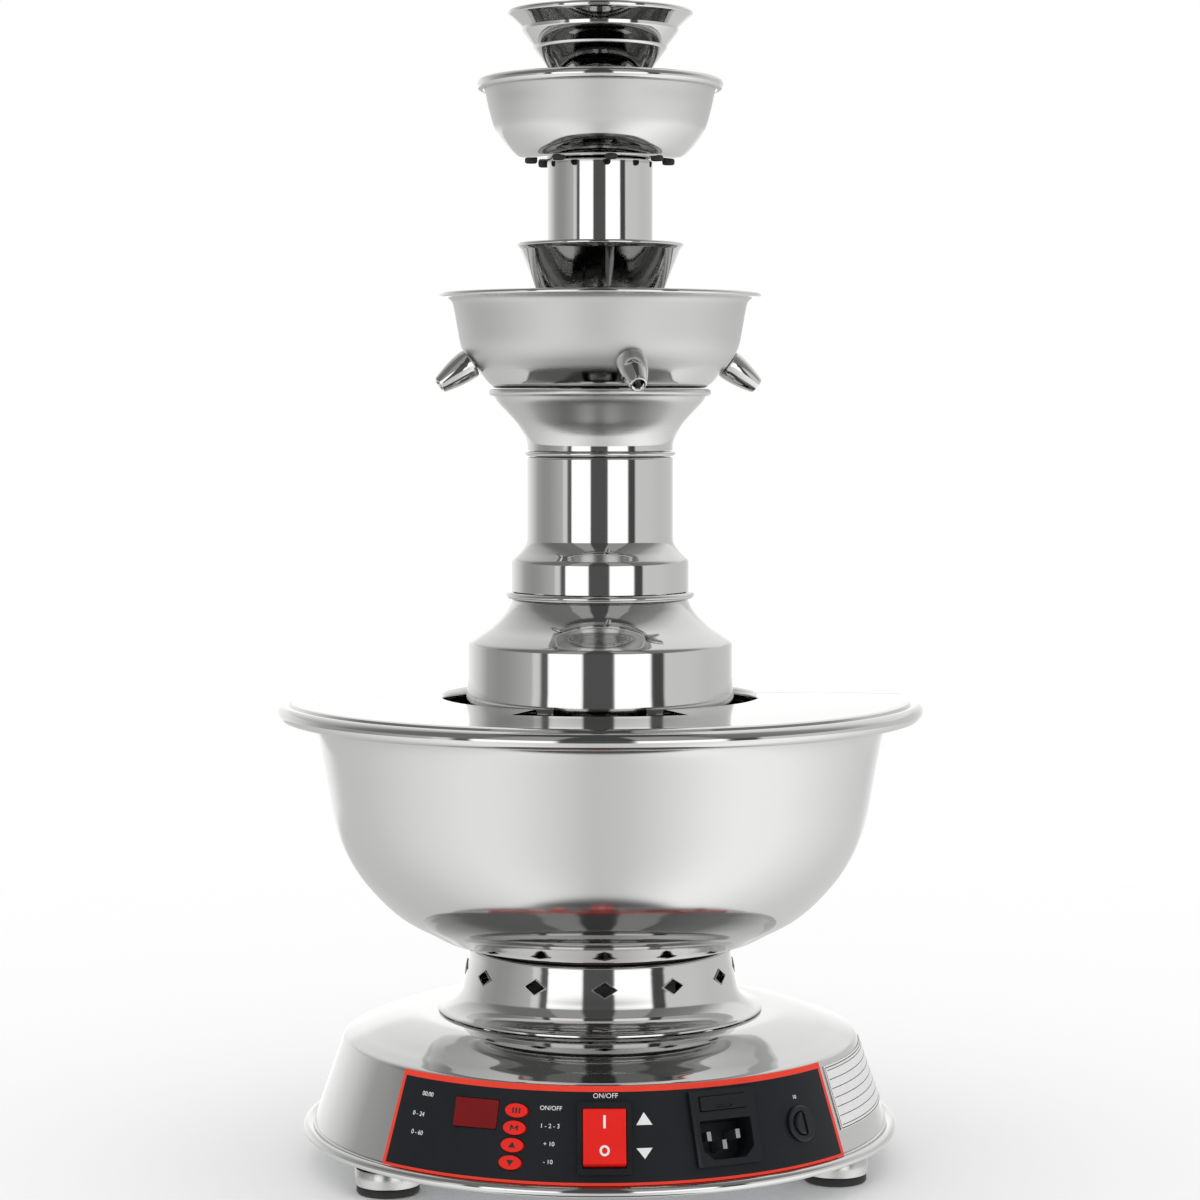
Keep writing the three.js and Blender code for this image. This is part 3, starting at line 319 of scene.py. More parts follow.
def sag(x):
    """How far the round skirt falls back at a distance beside a fitting's middle."""
    return CREASE_RADIUS - math.sqrt(CREASE_RADIUS ** 2 - x ** 2)


KEYPAD = on_skirt(-25.5, 21.76)
SWITCH = on_skirt(-3.75, 22.66)
INLET = on_skirt(20.2, 20.36)
FUSE = on_skirt(38.2, 24.26)
KEYS = [(9.6, 10.1), (9.6, 2.6), (9.6, -4.9), (9.6, -12.4)]
DISPLAY = (-9.3, 7.6)
DISPLAY_SIZE, KEY_SIZE, KEYPAD_WINDOW = (20.3, 12.5), (10.4, 6.1), (48, 33)
SWITCH_SIZE, INLET_SIZE, HOLDER_RADIUS = (22.2, 28.0), (27.6, 29.0), 5.9
PANEL_PLAY, CLIP_PLAY, SHEET_PLAY, INLET_SHEET_PLAY = 0.3, 0.6, 1.3, 1.0
CUT_DEPTH = 12
PRINT_DEPTH, PRINT_SUNK = 0.1, 0.02


# Finishes

class Signal:
    """A shader socket that takes Python's arithmetic."""

    def __init__(self, graph, socket):
        self.graph, self.socket = graph, socket

    def join(self, operation, *values):
        return self.graph.node("ShaderNodeMath", {"operation": operation}, dict(enumerate(values)))

    def __add__(self, other):
        return self.join("ADD", self, other)

    def __sub__(self, other):
        return self.join("SUBTRACT", self, other)

    def __rsub__(self, other):
        return self.join("SUBTRACT", other, self)

    def __mul__(self, other):
        return self.join("MULTIPLY", self, other)

    def __truediv__(self, other):
        return self.join("DIVIDE", self, other)

    def __rtruediv__(self, other):
        return self.join("DIVIDE", other, self)

    def __neg__(self):
        return self.join("MULTIPLY", self, -1.0)

    def __abs__(self):
        return self.join("ABSOLUTE", self)

    def __gt__(self, other):
        return self.join("GREATER_THAN", self, other)

    def __lt__(self, other):
        return self.join("LESS_THAN", self, other)

    def root(self):
        return self.join("SQRT", self)

    def fraction(self):
        return self.join("FRACT", self)

    def azimuth(self, across):
        """The angle round the axis, from the socket x and the socket y across it."""
        return self.join("ARCTAN2", self, -across)

    def at_most(self, other):
        return self.join("MINIMUM", self, other)

    def at_least(self, other):
        return self.join("MAXIMUM", self, other)

    __radd__ = __add__
    __rmul__ = __mul__


class Graph:
    """A node tree. Every node in it comes from the one method, with its settings and inputs."""

    def __init__(self, tree):
        self.tree = tree
        self.place = None

    def node(self, kind, settings=None, values=None, out=0):
        made = self.tree.nodes.new(kind)
        for key, value in (settings or {}).items():
            if key == "stops":
                ramp = made.color_ramp
                while len(ramp.elements) < len(value):
                    ramp.elements.new(0.5)
                for stop, (where, colour) in zip(ramp.elements, value):
                    stop.position = where
                    stop.color = colour
            else:
                setattr(made, key, value)
        for key, value in (values or {}).items():
            if isinstance(value, Signal):
                self.tree.links.new(value.socket, made.inputs[key])
            else:
                made.inputs[key].default_value = value
        return Signal(self, made.outputs[out]) if made.outputs else None

    def position(self, kind="Object"):
        if self.place is None:
            self.place = self.node("ShaderNodeTexCoord", out=kind)
        return self.place

    def axes(self, kind="Object"):
        apart = self.node("ShaderNodeSeparateXYZ", {}, {0: self.position(kind)}).socket.node
        return [Signal(self, apart.outputs[i]) for i in range(3)]

    def between(self, value, low, high, first=0.0, last=1.0):
        return self.node("ShaderNodeMapRange", {"interpolation_type": "SMOOTHSTEP"}, {
            "Value": value, "From Min": low, "From Max": high, "To Min": first, "To Max": last})

    def mixed(self, share, first, second):
        return self.node("ShaderNodeMix", {"data_type": "RGBA"}, {0: share, 6: first, 7: second},
                         out=2)


class Coat(Graph):
    """A material whose shader's constants are set first and whose varying sockets are linked."""

    def __init__(self, name, **constants):
        self.material = bpy.data.materials.new(name)
        self.material.use_nodes = True
        super().__init__(self.material.node_tree)
        self.shader = self.tree.nodes["Principled BSDF"]
        for key, value in constants.items():
            self.shader.inputs[key.replace("_", " ")].default_value = value

    def stretched(self, scale):
        return self.node("ShaderNodeMapping", {}, {"Vector": self.position(), "Scale": scale})

    def noise(self, scale, where=None, detail=3.0, roughness=0.55):
        return self.node("ShaderNodeTexNoise", {}, {
            "Vector": where or self.position(), "Scale": scale, "Detail": detail,
            "Roughness": roughness})

    def feed(self, socket, value):
        self.tree.links.new(value.socket, self.shader.inputs[socket])
        return self

    def bumped(self, height, strength, distance=0.0002):
        return self.feed("Normal", self.node("ShaderNodeBump", {}, {
            "Strength": strength, "Distance": distance, "Height": height}))


def shade(tint, share=1.0):
    return (*[c * share for c in tint], 1)


def grey(value):
    return (value, value, value, 1)


def polished_steel(name, tint=(0.63, 0.63, 0.622), low=0.035, high=0.08):
    """Mirror-polished sheet with a faint haze and a few wiped marks."""
    coat = Coat(name, Metallic=1.0)
    wiped = coat.noise(18, coat.stretched((1, 1, 2.5)), 4)
    fine = coat.noise(260, None, 2)
    coat.feed("Roughness", wiped * (high - low) + fine * 0.012 + (low - 0.006))
    coat.feed("Base Color", coat.mixed(wiped, shade(tint, 0.97), shade(tint)))
    return coat.material


HAIR_LINES = 5200


def satin_steel(name, low=0.13, high=0.19, tint=(0.62, 0.62, 0.613), polish_below=None):
    """Fine-spun satin sheet: hair lines run round the axis, over a soft cloudiness. Below a level
    it turns to a polish."""
    coat = Coat(name, Metallic=1.0)
    x, y, z = coat.axes()
    square = x * x + y * y
    lines = coat.noise(1.0, coat.node("ShaderNodeCombineXYZ", {}, {
        0: square.root() * HAIR_LINES, 1: z * HAIR_LINES, 2: x * 9}), 2)
    cloud = coat.noise(9, None, 3)
    rough = lines * 0.05 + cloud * (high - low) + (low - 0.03)
    if polish_below:
        start_level, end_level, polish = polish_below
        rough = rough * coat.between(z, start_level * MM, end_level * MM, polish)
    coat.feed("Roughness", rough)
    coat.feed("Base Color", coat.mixed(cloud, shade(tint, 0.975), shade(tint)))
    coat.bumped(lines, 0.02, 0.00005)
    return coat.material


def plated_steel(name, tint=(0.66, 0.67, 0.68)):
    coat = Coat(name, Metallic=1.0)
    spangle = coat.node("ShaderNodeTexVoronoi", {}, {"Vector": coat.position(), "Scale": 90.0})
    cloud = coat.noise(40)
    coat.feed("Roughness", spangle * 0.18 + cloud * 0.1 + 0.24)
    coat.feed("Base Color", coat.mixed(cloud, shade(tint, 0.9), shade(tint)))
    coat.bumped(spangle, 0.08)
    return coat.material


def rubber(name, tint=0.018):
    coat = Coat(name)
    grain = coat.noise(900, None, 4)
    scuff = coat.noise(60, None, 3)
    coat.feed("Roughness", scuff * 0.2 + 0.62)
    coat.feed("Base Color", coat.mixed(scuff, grey(tint * 0.8), grey(tint * 1.6)))
    coat.bumped(grain, 0.25)
    return coat.material


def moulded(name, tint, gloss=0.35, grain=0.12, shine=0.5):
    """Moulded plastic with a fine spark-eroded grain."""
    coat = Coat(name, Specular_IOR_Level=shine)
    speck = coat.noise(1400, None, 3)
    soft = coat.noise(70, None, 3)
    coat.feed("Roughness", soft * 0.1 + (gloss - 0.05))
    coat.feed("Base Color", coat.mixed(soft, shade(tint, 0.9), shade(tint)))
    coat.bumped(speck, grain, 0.00008)
    return coat.material


def drop_on_skirt(z):
    return (CREASE_LEVEL * MM - z) * (SKIRT_SLANT / SKIRT_RISE / MM)


def from_edge(coat, middle, half_spread, top, bottom):
    """How far inside a strip on the skirt a point lies, in millimetres."""
    x, y, z = coat.axes()
    drop = drop_on_skirt(z)
    side = (turn(half_spread) - abs(x.azimuth(y) - turn(middle))) * SKIRT_MIDDLE_RADIUS
    return side.at_most(drop - top).at_most(bottom - drop)


def panel_foil(name, border=1.9):
    """Satin black foil with an orange-red border of even width."""
    coat = Coat(name, Specular_IOR_Level=0.25)
    edge = from_edge(coat, PANEL_MIDDLE, PANEL_HALF_SPREAD, PANEL_TOP, PANEL_BOTTOM) < border
    soft = coat.noise(120, None, 3)
    grain = coat.noise(1600, None, 2)
    black = coat.mixed(soft, (0.008, 0.010, 0.013, 1), (0.012, 0.014, 0.018, 1))
    red = coat.mixed(soft, (0.82, 0.042, 0.018, 1), (0.86, 0.052, 0.024, 1))
    coat.feed("Base Color", coat.mixed(edge, black, red))
    coat.feed("Roughness", soft * 0.08 + 0.38)
    coat.bumped(grain, 0.05, 0.00005)
    return coat.material


def printed(name, tint=(0.86, 0.86, 0.85)):
    coat = Coat(name)
    soft = coat.noise(300, None, 2)
    coat.feed("Roughness", soft * 0.1 + 0.42)
    coat.feed("Base Color", coat.mixed(soft, shade(tint, 0.93), shade(tint)))
    return coat.material


def window_red(name):
    """Tinted display window with a glossy face."""
    coat = Coat(name, Specular_IOR_Level=0.35)
    soft = coat.noise(90, None, 2)
    coat.feed("Roughness", soft * 0.06 + 0.14)
    coat.feed("Base Color", coat.mixed(soft, (0.16, 0.004, 0.005, 1), (0.20, 0.006, 0.008, 1)))
    return coat.material


def circuit(name):
    coat = Coat(name)
    tracks = coat.node("ShaderNodeTexVoronoi", {"distance": "CHEBYCHEV"}, {
        "Vector": coat.position(), "Scale": 420.0})
    soft = coat.noise(200)
    coat.feed("Base Color", coat.mixed(tracks, (0.01, 0.09, 0.035, 1), (0.03, 0.2, 0.08, 1)))
    coat.feed("Roughness", soft * 0.15 + 0.35)
    return coat.material


ROW_HEIGHT = 4.17


def ruled_plate(name):
    """White foil plate with an outline and ruled rows, and nothing written on it."""
    coat = Coat(name, Specular_IOR_Level=0.4)
    soft = coat.noise(150, None, 3)
    coat.feed("Roughness", soft * 0.1 + 0.36)
    inside = from_edge(coat, PLATE_MIDDLE, PLATE_HALF_SPREAD, PLATE_TOP, PLATE_BOTTOM)
    outline = (inside > 0.5) * (inside < 0.95)
    drop = drop_on_skirt(coat.axes()[2])
    row = ((drop - PLATE_TOP) / ROW_HEIGHT).fraction()
    rules = (abs(row - 0.5) < 0.045) * (inside > 1.8)
    ink = outline.at_least(rules)
    coat.feed("Base Color", coat.mixed(ink, coat.mixed(soft, grey(0.74), grey(0.8)), grey(0.03)))
    coat.bumped(soft, 0.03, 0.00004)
    return coat.material


mirror = polished_steel("mirror_polished_steel")
satin = satin_steel("satin_spun_steel", polish_below=(124, 140, 0.3))
satin_middle = satin_steel("satin_middle_bowl", 0.46, 0.52, polish_below=(369, 374, 0.15))
satin_upper = satin_steel("satin_upper_bowl", 0.46, 0.52, polish_below=(479, 485, 0.15))
satin_horn = satin_steel("satin_trumpet", 0.3, 0.36, polish_below=(336, 346, 0.2))
brushed = satin_steel("turned_steel", 0.24, 0.32, (0.56, 0.56, 0.55))
plated = plated_steel("zinc_plated_steel")
black_rubber = rubber("black_rubber")
black_plastic = moulded("black_moulded_plastic", (0.012, 0.014, 0.017), 0.34, 0.12, 0.35)
red_plastic = moulded("red_switch_plastic", (0.86, 0.012, 0.006), 0.25, 0.03, 0.35)
key_red = moulded("red_key_plastic", (0.84, 0.016, 0.008), 0.36, 0.06, 0.25)
white_plastic = moulded("white_pump_plastic", (0.75, 0.74, 0.71), 0.4)
foil = panel_foil("panel_foil")
white_print = printed("white_print")
black_print = printed("black_print", (0.018, 0.018, 0.02))
display_red = window_red("display_window_red")
board_green = circuit("circuit_board_green")
plate_foil = ruled_plate("blank_plate_foil")


def dress(piece, material, body="fountain", nodes=()):
    piece.data.materials.clear()
    piece.data.materials.append(material)
    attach(piece, body)
    if nodes:
        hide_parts(*nodes)
    return piece


def polished_inside(piece, rim_from):
    """Mirror-polishes a bowl's inner face, and all of it above a level."""
    piece.data.materials.append(mirror)
    for face in piece.data.polygons:
        across = Vector((face.center.x, face.center.y, 0))
        inner = face.normal.dot(across) < 0 or face.normal.z > 0.6
        if inner or face.center.z > rim_from * MM:
            face.material_index = 1
    return piece


CARRIED = {
    "base_plate": plated, "power_supply": plated, "motor_stand": plated, "motor_can": plated,
    "motor_shaft": brushed, "shaft_seal": black_rubber, "pump_housing": white_plastic,
    "impeller": white_plastic, "control_board": board_green,
    **{f"tap_nut_{i}": plated for i in (1, 2, 3, 4)},
    **{f"inlet_pin_{i}": plated for i in (1, 2, 3)},
}
for node_name, material in CARRIED.items():
    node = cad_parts[node_name]
    node.data.materials.clear()
    node.data.materials.append(material)


# Base: shell, feet and collar

def base_shell():
    low = foot_level("base_shell")
    rim = arc((137.4, low + 2.4), 2.4, 165, 465, 15)
    groove = [(136.0, 19.3), (135.0, 19.0), (134.3, 19.4), (134.55, 20.2)]
    path = rim + groove + [(121.4, 58.2)]
    path += flowing([(121.25, 58.6), (120.9, 59.4), (120.3, 60.05), (119.3, 60.6), (117.4, 61.4),
                     (114, 62.8), (110, 64.2), (102, 67.2), (93, 69.6), (86, 70.7), (80, 71.0)], 4)
    path += [(50, 71.0)]
    shell = spun("base_shell_spun", path, wall=1.2, steps=160)
    windows = ((KEYPAD, KEYPAD_WINDOW), (SWITCH, widened(SWITCH_SIZE, SHEET_PLAY)),
               (INLET, widened(INLET_SIZE, INLET_SHEET_PLAY)),
               (FUSE, widened((2 * HOLDER_RADIUS, 2 * HOLDER_RADIUS), SHEET_PLAY)))
    carved(shell, *[put(block("window", (*size, CUT_DEPTH), (0, 0, 0)), place)
                    for place, size in windows])
    return dress(shell, mirror, nodes=["base_shell"])


FOOT_TURN, FOOT_CIRCLE = 61.3, 118.2


def feet():
    pad = [(0, 0), (13.2, 0), (13.9, 0.25), (14.3, 0.9), (14.3, 3.0), (14.0, 3.6), (0, 3.6)]
    cup = [(0, 3.9), (13.9, 3.9), (14.6, 4.1), (15.0, 4.7), (15.0, 11.1), (14.7, 11.6),
           (14.1, 11.7), (3.0, 11.7), (3.0, 19.8), (2.4, 20.4), (0, 20.4)]
    washer = [(3.3, 12.0), (14.2, 12.0), (14.6, 12.4), (14.6, 14.2), (14.2, 14.6), (3.3, 14.6)]
    rings = (("foot_pad", pad, black_rubber, "black_rubber"),
             ("foot_cup", cup, brushed, "brushed_stainless"),
             ("foot_washer", washer, black_rubber, "black_rubber"))
    for kind, loop, material, slot in rings:
        model = turned(f"{kind}_round", loop, steps=56)
        for i in (1, 2, 3):
            place = standing(FOOT_TURN + 120 * (i - 1), FOOT_CIRCLE)
            dress(put(copied(model, f"{kind}_{i}_turned"), place), material,
                  nodes=[f"{kind}_{i}"])
        bpy.data.objects.remove(model)


def vent_rim():
    """The raised edge of a punched diamond."""
    bpy.ops.object.select_all(action="DESELECT")
    bpy.ops.mesh.primitive_torus_add(major_segments=4, minor_segments=10, major_radius=5.6 * MM,
                                     minor_radius=0.5 * MM)
    rim = bpy.context.object
    bpy.ops.object.mode_set(mode="EDIT")
    bpy.ops.mesh.select_all(action="SELECT")
    bpy.ops.transform.resize(value=(1.0, 0.64, 1.0))
    bpy.ops.object.mode_set(mode="OBJECT")
    return smooth(rim, 50)


VENT_TURN, VENT_LEAN, VENT_RADIUS, VENT_LEVEL, VENT_COUNT = -2.6, 9, 62.85, 90.6, 12


def collar():
    path = [(76.0, 71.3), (76.4, 71.7), (76.3, 72.3), (75.8, 72.6)]
    path += flowing([(74.8, 72.8), (72.4, 73.5), (69.4, 75.1), (66.8, 77.5), (65.2, 80.4),
                     (64.3, 84.0), (63.4, 88.0), (62.6, 92.0), (62.0, 95.6), (61.9, 98.4)], 4)
    path += arc((60.1, 99.2), 1.8, 10, 90, 6) + [(50, 101.0)]
    piece = spun("collar_spun", path, wall=1.2, steps=144)
    model = prism("vent", [(-5.5, 0), (0, -3.4), (5.5, 0), (0, 3.4)], CUT_DEPTH, -CUT_DEPTH / 2)
    rim = vent_rim()
    cutters, rims = [], []
    for i in range(VENT_COUNT):
        place = facing_out(VENT_TURN + 360 / VENT_COUNT * i, turn(VENT_LEAN), VENT_RADIUS,
                           VENT_LEVEL)
        cutters.append(put(copied(model, f"vent_{i}"), place))
        rims.append(put(copied(rim, f"vent_rim_{i}"), place))
    bpy.data.objects.remove(model)
    bpy.data.objects.remove(rim)
    carved(piece, joined("vents", *cutters))
    joined("collar_spun", piece, *rims)
    dress(piece, mirror, nodes=["collar"])


def neck_gasket():
    gasket = turned("neck_gasket_ring", [(51.5, 101.3), (59.1, 101.3), (59.5, 101.7), (59.5, 102.8),
                                         (59.1, 103.2), (51.5, 103.2)], steps=96)
    dress(gasket, black_rubber, nodes=["neck_gasket"])


# Large bowl and its lid

BOWL_WALL = [(60, 0), (67, 0.3), (74.4, 2.1), (83.3, 6.7), (94.2, 12.8), (103.5, 20.8),
             (112.1, 30.8), (118.4, 40.8), (122.8, 50.8), (125.6, 61.0), (127.5, 71.6),
             (129.3, 82.0), (131.2, 92.3), (132.2, 96.6), (133.6, 100.8), (135.8, 104.4),
             (139.2, 107.6), (143.8, 110.0)]
LID_GAP, LID_TURN = 0.3, 2.9
SLOT_MIDDLE, SLOT_HALF_SPREAD, SLOT_REACH = -7.5, 22.5, 97.0


def large_bowl():
    low = foot_level("bowl")
    path = [(9, 0), (58, 0)] + flowing(BOWL_WALL, 4)
    path += arc((147.5, 109.4), 2.6, 110, -150, 14)
    piece = spun("bowl_spun", path, low, 1.2, 176)
    dress(piece, satin, nodes=["bowl"])
    return polished_inside(piece, rim_from=211)


def serving_slot(piece):
    """Cuts the slot out of the open mesh, from the hole to its front edge."""
    shape = bmesh.from_edit_mesh(piece.data)
    for face in shape.faces:
        centre = face.calc_center_median()
        azimuth = math.degrees(math.atan2(centre.x, -centre.y))
        face.select = (centre.xy.length < SLOT_REACH * MM
                       and abs(azimuth - SLOT_MIDDLE) < SLOT_HALF_SPREAD)
    bpy.ops.mesh.delete(type="FACE")


def lid_half(half):
    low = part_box("bowl")[1].z / MM + LID_GAP
    path = [(74.7, -0.9), (74.7, 1.1), (74.9, 1.7), (75.4, 2.1), (76.3, 2.2), (102, 2.2),
            (106, 2.15), (112, 1.98), (120, 1.7), (128, 1.42), (134, 1.18), (137.5, 1.05),
            (139.5, 1.0), (143.6, 1.0), (144.1, 0.9), (144.3, 0.3), (144.0, -0.1)]
    piece = spun(f"lid_{half}_half", path, low, 0.0, 144)
    only(piece)
    bpy.ops.object.mode_set(mode="EDIT")
    bpy.ops.mesh.select_all(action="SELECT")
    side = -1 if half == "front" else 1
    bpy.ops.mesh.bisect(plane_co=(0, side * LID_GAP * MM, 0), plane_no=(0, side, 0),
                        clear_inner=True)
    if half == "front":
        serving_slot(piece)
    bpy.ops.object.mode_set(mode="OBJECT")
    finish(piece, "SOLIDIFY", thickness=1.0 * MM, offset=-1, use_even_offset=False)
    smooth(piece, 40)
    put(piece, Matrix.Rotation(turn(LID_TURN), 4, "Z"))
    node = f"lid_{half}"
    return dress(piece, mirror, node, [node])


# Tower

GATE_TURN, GATE_COUNT = 30, 6


def pedestal():
    low = foot_level("pedestal_drum")
    shoulder = flowing([(62.2, 137.9), (61.9, 138.9), (60.9, 140.0), (56.6, 143.0), (51.2, 146.6),
                        (46.6, 150.8), (43.4, 154.8), (41.8, 158.0)], 4)
    path = [(63.3, 0), (63.3, 110), (62.2, 119.6), (62.2, 137.4)] + shoulder
    path += arc((40.6, 158.6), 1.0, 10, 90, 4) + [(36, 159.6)]
    drum = spun("pedestal_drum_spun", path, low, 1.2, 144)
    gates = [put(block("gate", (18, 14, 18), (0, -62, 0), 1.2, 3),
                 Matrix.Translation((0, 0, low * MM))
                 @ Matrix.Rotation(turn(GATE_TURN + 360 / GATE_COUNT * i), 4, "Z"))
             for i in range(GATE_COUNT)]
    carved(drum, *gates)
    dress(drum, mirror, nodes=["pedestal_drum"])


def joint_ring(which, inner, outer, bead, bead_centre, swing, steps):
    """A flat ring whose outer edge bulges in a bead."""
    loop = [(inner, 0), (outer, 0)] + arc((bead_centre, bead), bead, -swing, swing, 8)
    loop += [(outer, 2 * bead), (inner, 2 * bead)]
    node = f"joint_ring_{which}"
    ring = turned(f"{which}_ring", loop, foot_level(node), steps)
    dress(ring, mirror, nodes=[node])


def column():
    step = flowing([(41.6, 13.8), (41.1, 14.9), (39.6, 16.4), (37.4, 18.6), (35.4, 21.2),
                    (34.5, 23.2), (34.3, 25.2)], 4)
    path = [(41.7, 0), (41.7, 13.0)] + step + [(34.3, 61.6)]
    path += arc((33.1, 61.6), 1.2, 15, 90, 4) + [(29, 62.8)]
    shaft = spun("column_spun", path, foot_level("column"), 1.2, 128)
    dress(shaft, mirror, nodes=["column"])


def trumpet():
    path = flowing([(34.2, 0), (34.3, 3), (35.7, 7.4), (38.5, 12.4), (43.1, 17.6), (47.6, 22.4),
                    (49.4, 25.2)], 5) + arc((50.3, 27.0), 1.6, -60, 150, 9)
    horn = spun("trumpet_spun", path, foot_level("trumpet"), 1.0, 128)
    dress(horn, satin_horn, nodes=["trumpet"])


SPOUT_DEPTH = 2.6
SPOUT_TURN, SPOUT_CIRCLE, SPOUT_COUNT = 4.4, 32.3, 8
TAP_TURN, TAP_DROOP, TAP_RADIUS, TAP_LEVEL, TAP_COUNT = 8.4, 36, 60.94, 374.8, 4
TAP_PLACES = [facing_out(TAP_TURN + 360 / TAP_COUNT * i, turn(-TAP_DROOP), TAP_RADIUS, TAP_LEVEL)
              for i in range(TAP_COUNT)]


def drill(radius, half_depth, steps):
    return turned("drill", [(0, -half_depth), (radius, -half_depth), (radius, half_depth),
                            (0, half_depth)], steps=steps)


def middle_bowl():
    low = foot_level("mid_bowl")
    path = [(9.3, 0), (44, 0)] + flowing(
        [(46.5, 0), (49.9, 0.4), (52.4, 1.9), (54.6, 4.3), (58.6, 9.4), (62.4, 14.6), (64.9, 20.2),
         (66.6, 29.0), (67.9, 36.4), (69.0, 40.2), (71.6, 42.4)], 4)
    path += arc((74.4, 43.0), 1.15, 200, 450, 9)[2:]
    piece = spun("mid_bowl_spun", path, low, 1.1, 136)
    carved(piece, *[put(drill(3.9, 12, 32), place) for place in TAP_PLACES])
    dress(piece, satin_middle, nodes=["mid_bowl"])
    polished_inside(piece, rim_from=404.4)


def taps():
    body = [(2.2, -7.2), (3.6, -7.2), (3.6, 0.4), (6.0, 0.4), (6.6, 0.6), (6.95, 1.1), (7.0, 2.0),
            (7.0, 3.4)]
    body += flowing([(6.9, 4.2), (6.6, 7.0), (5.9, 10.8), (4.9, 14.8), (4.05, 17.8)], 4)
    body += [(3.7, 18.4), (3.2, 18.6), (2.6, 18.5), (2.2, 18.0)]
    model = turned("tap_model", body, steps=56, angle=30)
    for i, place in enumerate(TAP_PLACES, 1):
        piece = put(copied(model, f"tap_{i}_turned"), place)
        dress(piece, mirror, nodes=[f"tap_{i}"])
    bpy.data.objects.remove(model)


def catch_cup():
    path = [(14, 0), (14, 37.8), (14.6, 38.5), (26.2, 38.5)]
    path += flowing([(27.0, 38.6), (28.2, 39.6), (29.4, 42.4), (30.3, 45.2)], 3)
    path += [(37.4, 62.6)] + arc((38.1, 64.9), 1.0, -60, 200, 8)
    cup = spun("catch_cup_spun", path, foot_level("catch_cup"), 1.1, 112)
    dress(cup, mirror, nodes=["catch_cup"])


def upper_column():
    path = [(24.6, 0), (24.6, 62.8)] + arc((23.4, 62.8), 1.2, 15, 90, 4) + [(12, 64)]
    tube = spun("upper_column_spun", path, foot_level("upper_column"), 1.2, 112)
    dress(tube, mirror, nodes=["upper_column"])


def spout_places():
    level = foot_level("upper_bowl") + SPOUT_DEPTH
    return [standing(SPOUT_TURN + 360 / SPOUT_COUNT * i, SPOUT_CIRCLE, level)
            for i in range(SPOUT_COUNT)]


def spout_grommets():
    loop = [(1.7, -1.7), (2.2, -1.9), (2.7, -1.6), (2.9, -1.0), (3.0, 0.4), (1.7, 0.4)]
    spouts = [put(turned("spout", loop, steps=24), place) for place in spout_places()]
    dress(joined("spout_grommets", *spouts), black_rubber)


def upper_bowl():
    low = foot_level("upper_bowl") + SPOUT_DEPTH
    path = [(9.3, 0), (33, 0)] + flowing(
        [(35.5, 0), (38.6, 1.2), (42.7, 5.0), (48.1, 12.6), (51.2, 22.0), (52.8, 29.2),
         (53.9, 33.4)], 5)
    path += arc((54.9, 34.7), 1.5, 150, -150, 12)
    bowl = spun("upper_bowl_spun", path, low, 1.1, 128)
    carved(bowl, joined("drills", *[put(drill(1.55, 6, 20), place) for place in spout_places()]))
    dress(bowl, satin_upper, nodes=["upper_bowl"])
    polished_inside(bowl, rim_from=501.2)


def crown():
    path = [(13, 0), (13, 25.0), (13.2, 26.2), (14.2, 27.2), (30.7, 49.0), (31.1, 49.7),
            (31.3, 50.8), (36.0, 57.0), (36.4, 57.8), (36.5, 59.2), (41.2, 63.6)]
    path += arc((41.8, 65.6), 1.4, -50, 220, 10)
    cup = spun("crown_cup_spun", path, foot_level("crown_cup"), 1.1, 112, angle=20)
    dress(cup, mirror, "crown", ["crown_cup"])


def riser_tube():
    pipe = turned("riser_pipe", [(7.8, 0), (9, 0), (9, 368), (7.8, 368)],
                  foot_level("riser_tube"), 48)
    dress(pipe, brushed, nodes=["riser_tube"])


def outlet_head():
    loop = [(3.5, 0), (7.5, 0), (7.5, 8.0), (8.8, 8.0), (9, 8.3)]
    loop += flowing([(9, 9.6), (8.6, 12.0), (7.2, 14.4), (5.2, 15.7), (4.4, 16.0)], 3)
    head = turned("outlet_head_turned", loop + [(3.5, 15.6)], foot_level("outlet_head"), 48)
    dress(head, mirror, nodes=["outlet_head"])


# Control panel

def oval(width, height, count=40):
    angles = [turn(360 * i / count) for i in range(count)]
    return [(width / 2 * math.cos(a), height / 2 * math.sin(a)) for a in angles]


def rounded(width, height, radius, count=6, chamfers=(), cut=0.0):
    """A rounded rectangle. The corners named in chamfers are cut off instead."""
    corners = [(width / 2, height / 2, 0), (-width / 2, height / 2, 90),
               (-width / 2, -height / 2, 180), (width / 2, -height / 2, 270)]
    outline = []
    for i, (x, y, first) in enumerate(corners):
        sx, sy = math.copysign(1, x), math.copysign(1, y)
        if i in chamfers:
            pair = [(x, y - sy * cut), (x - sx * cut, y)]
            outline += pair if i in (0, 2) else pair[::-1]
        else:
            outline += arc((x - sx * radius, y - sy * radius), radius, first, first + 90, count)
    return outline


def skirt_strip(name, middle, half_spread, top, bottom, proud, gauge, steps):
    """A sheet that follows the skirt, its face so far out of it."""
    path = [skirt_point(bottom, proud), skirt_point(top, proud)]
    return spun(name, path, 0.0, gauge, steps, sweep=2 * half_spread,
                start_at=middle - half_spread - 90)


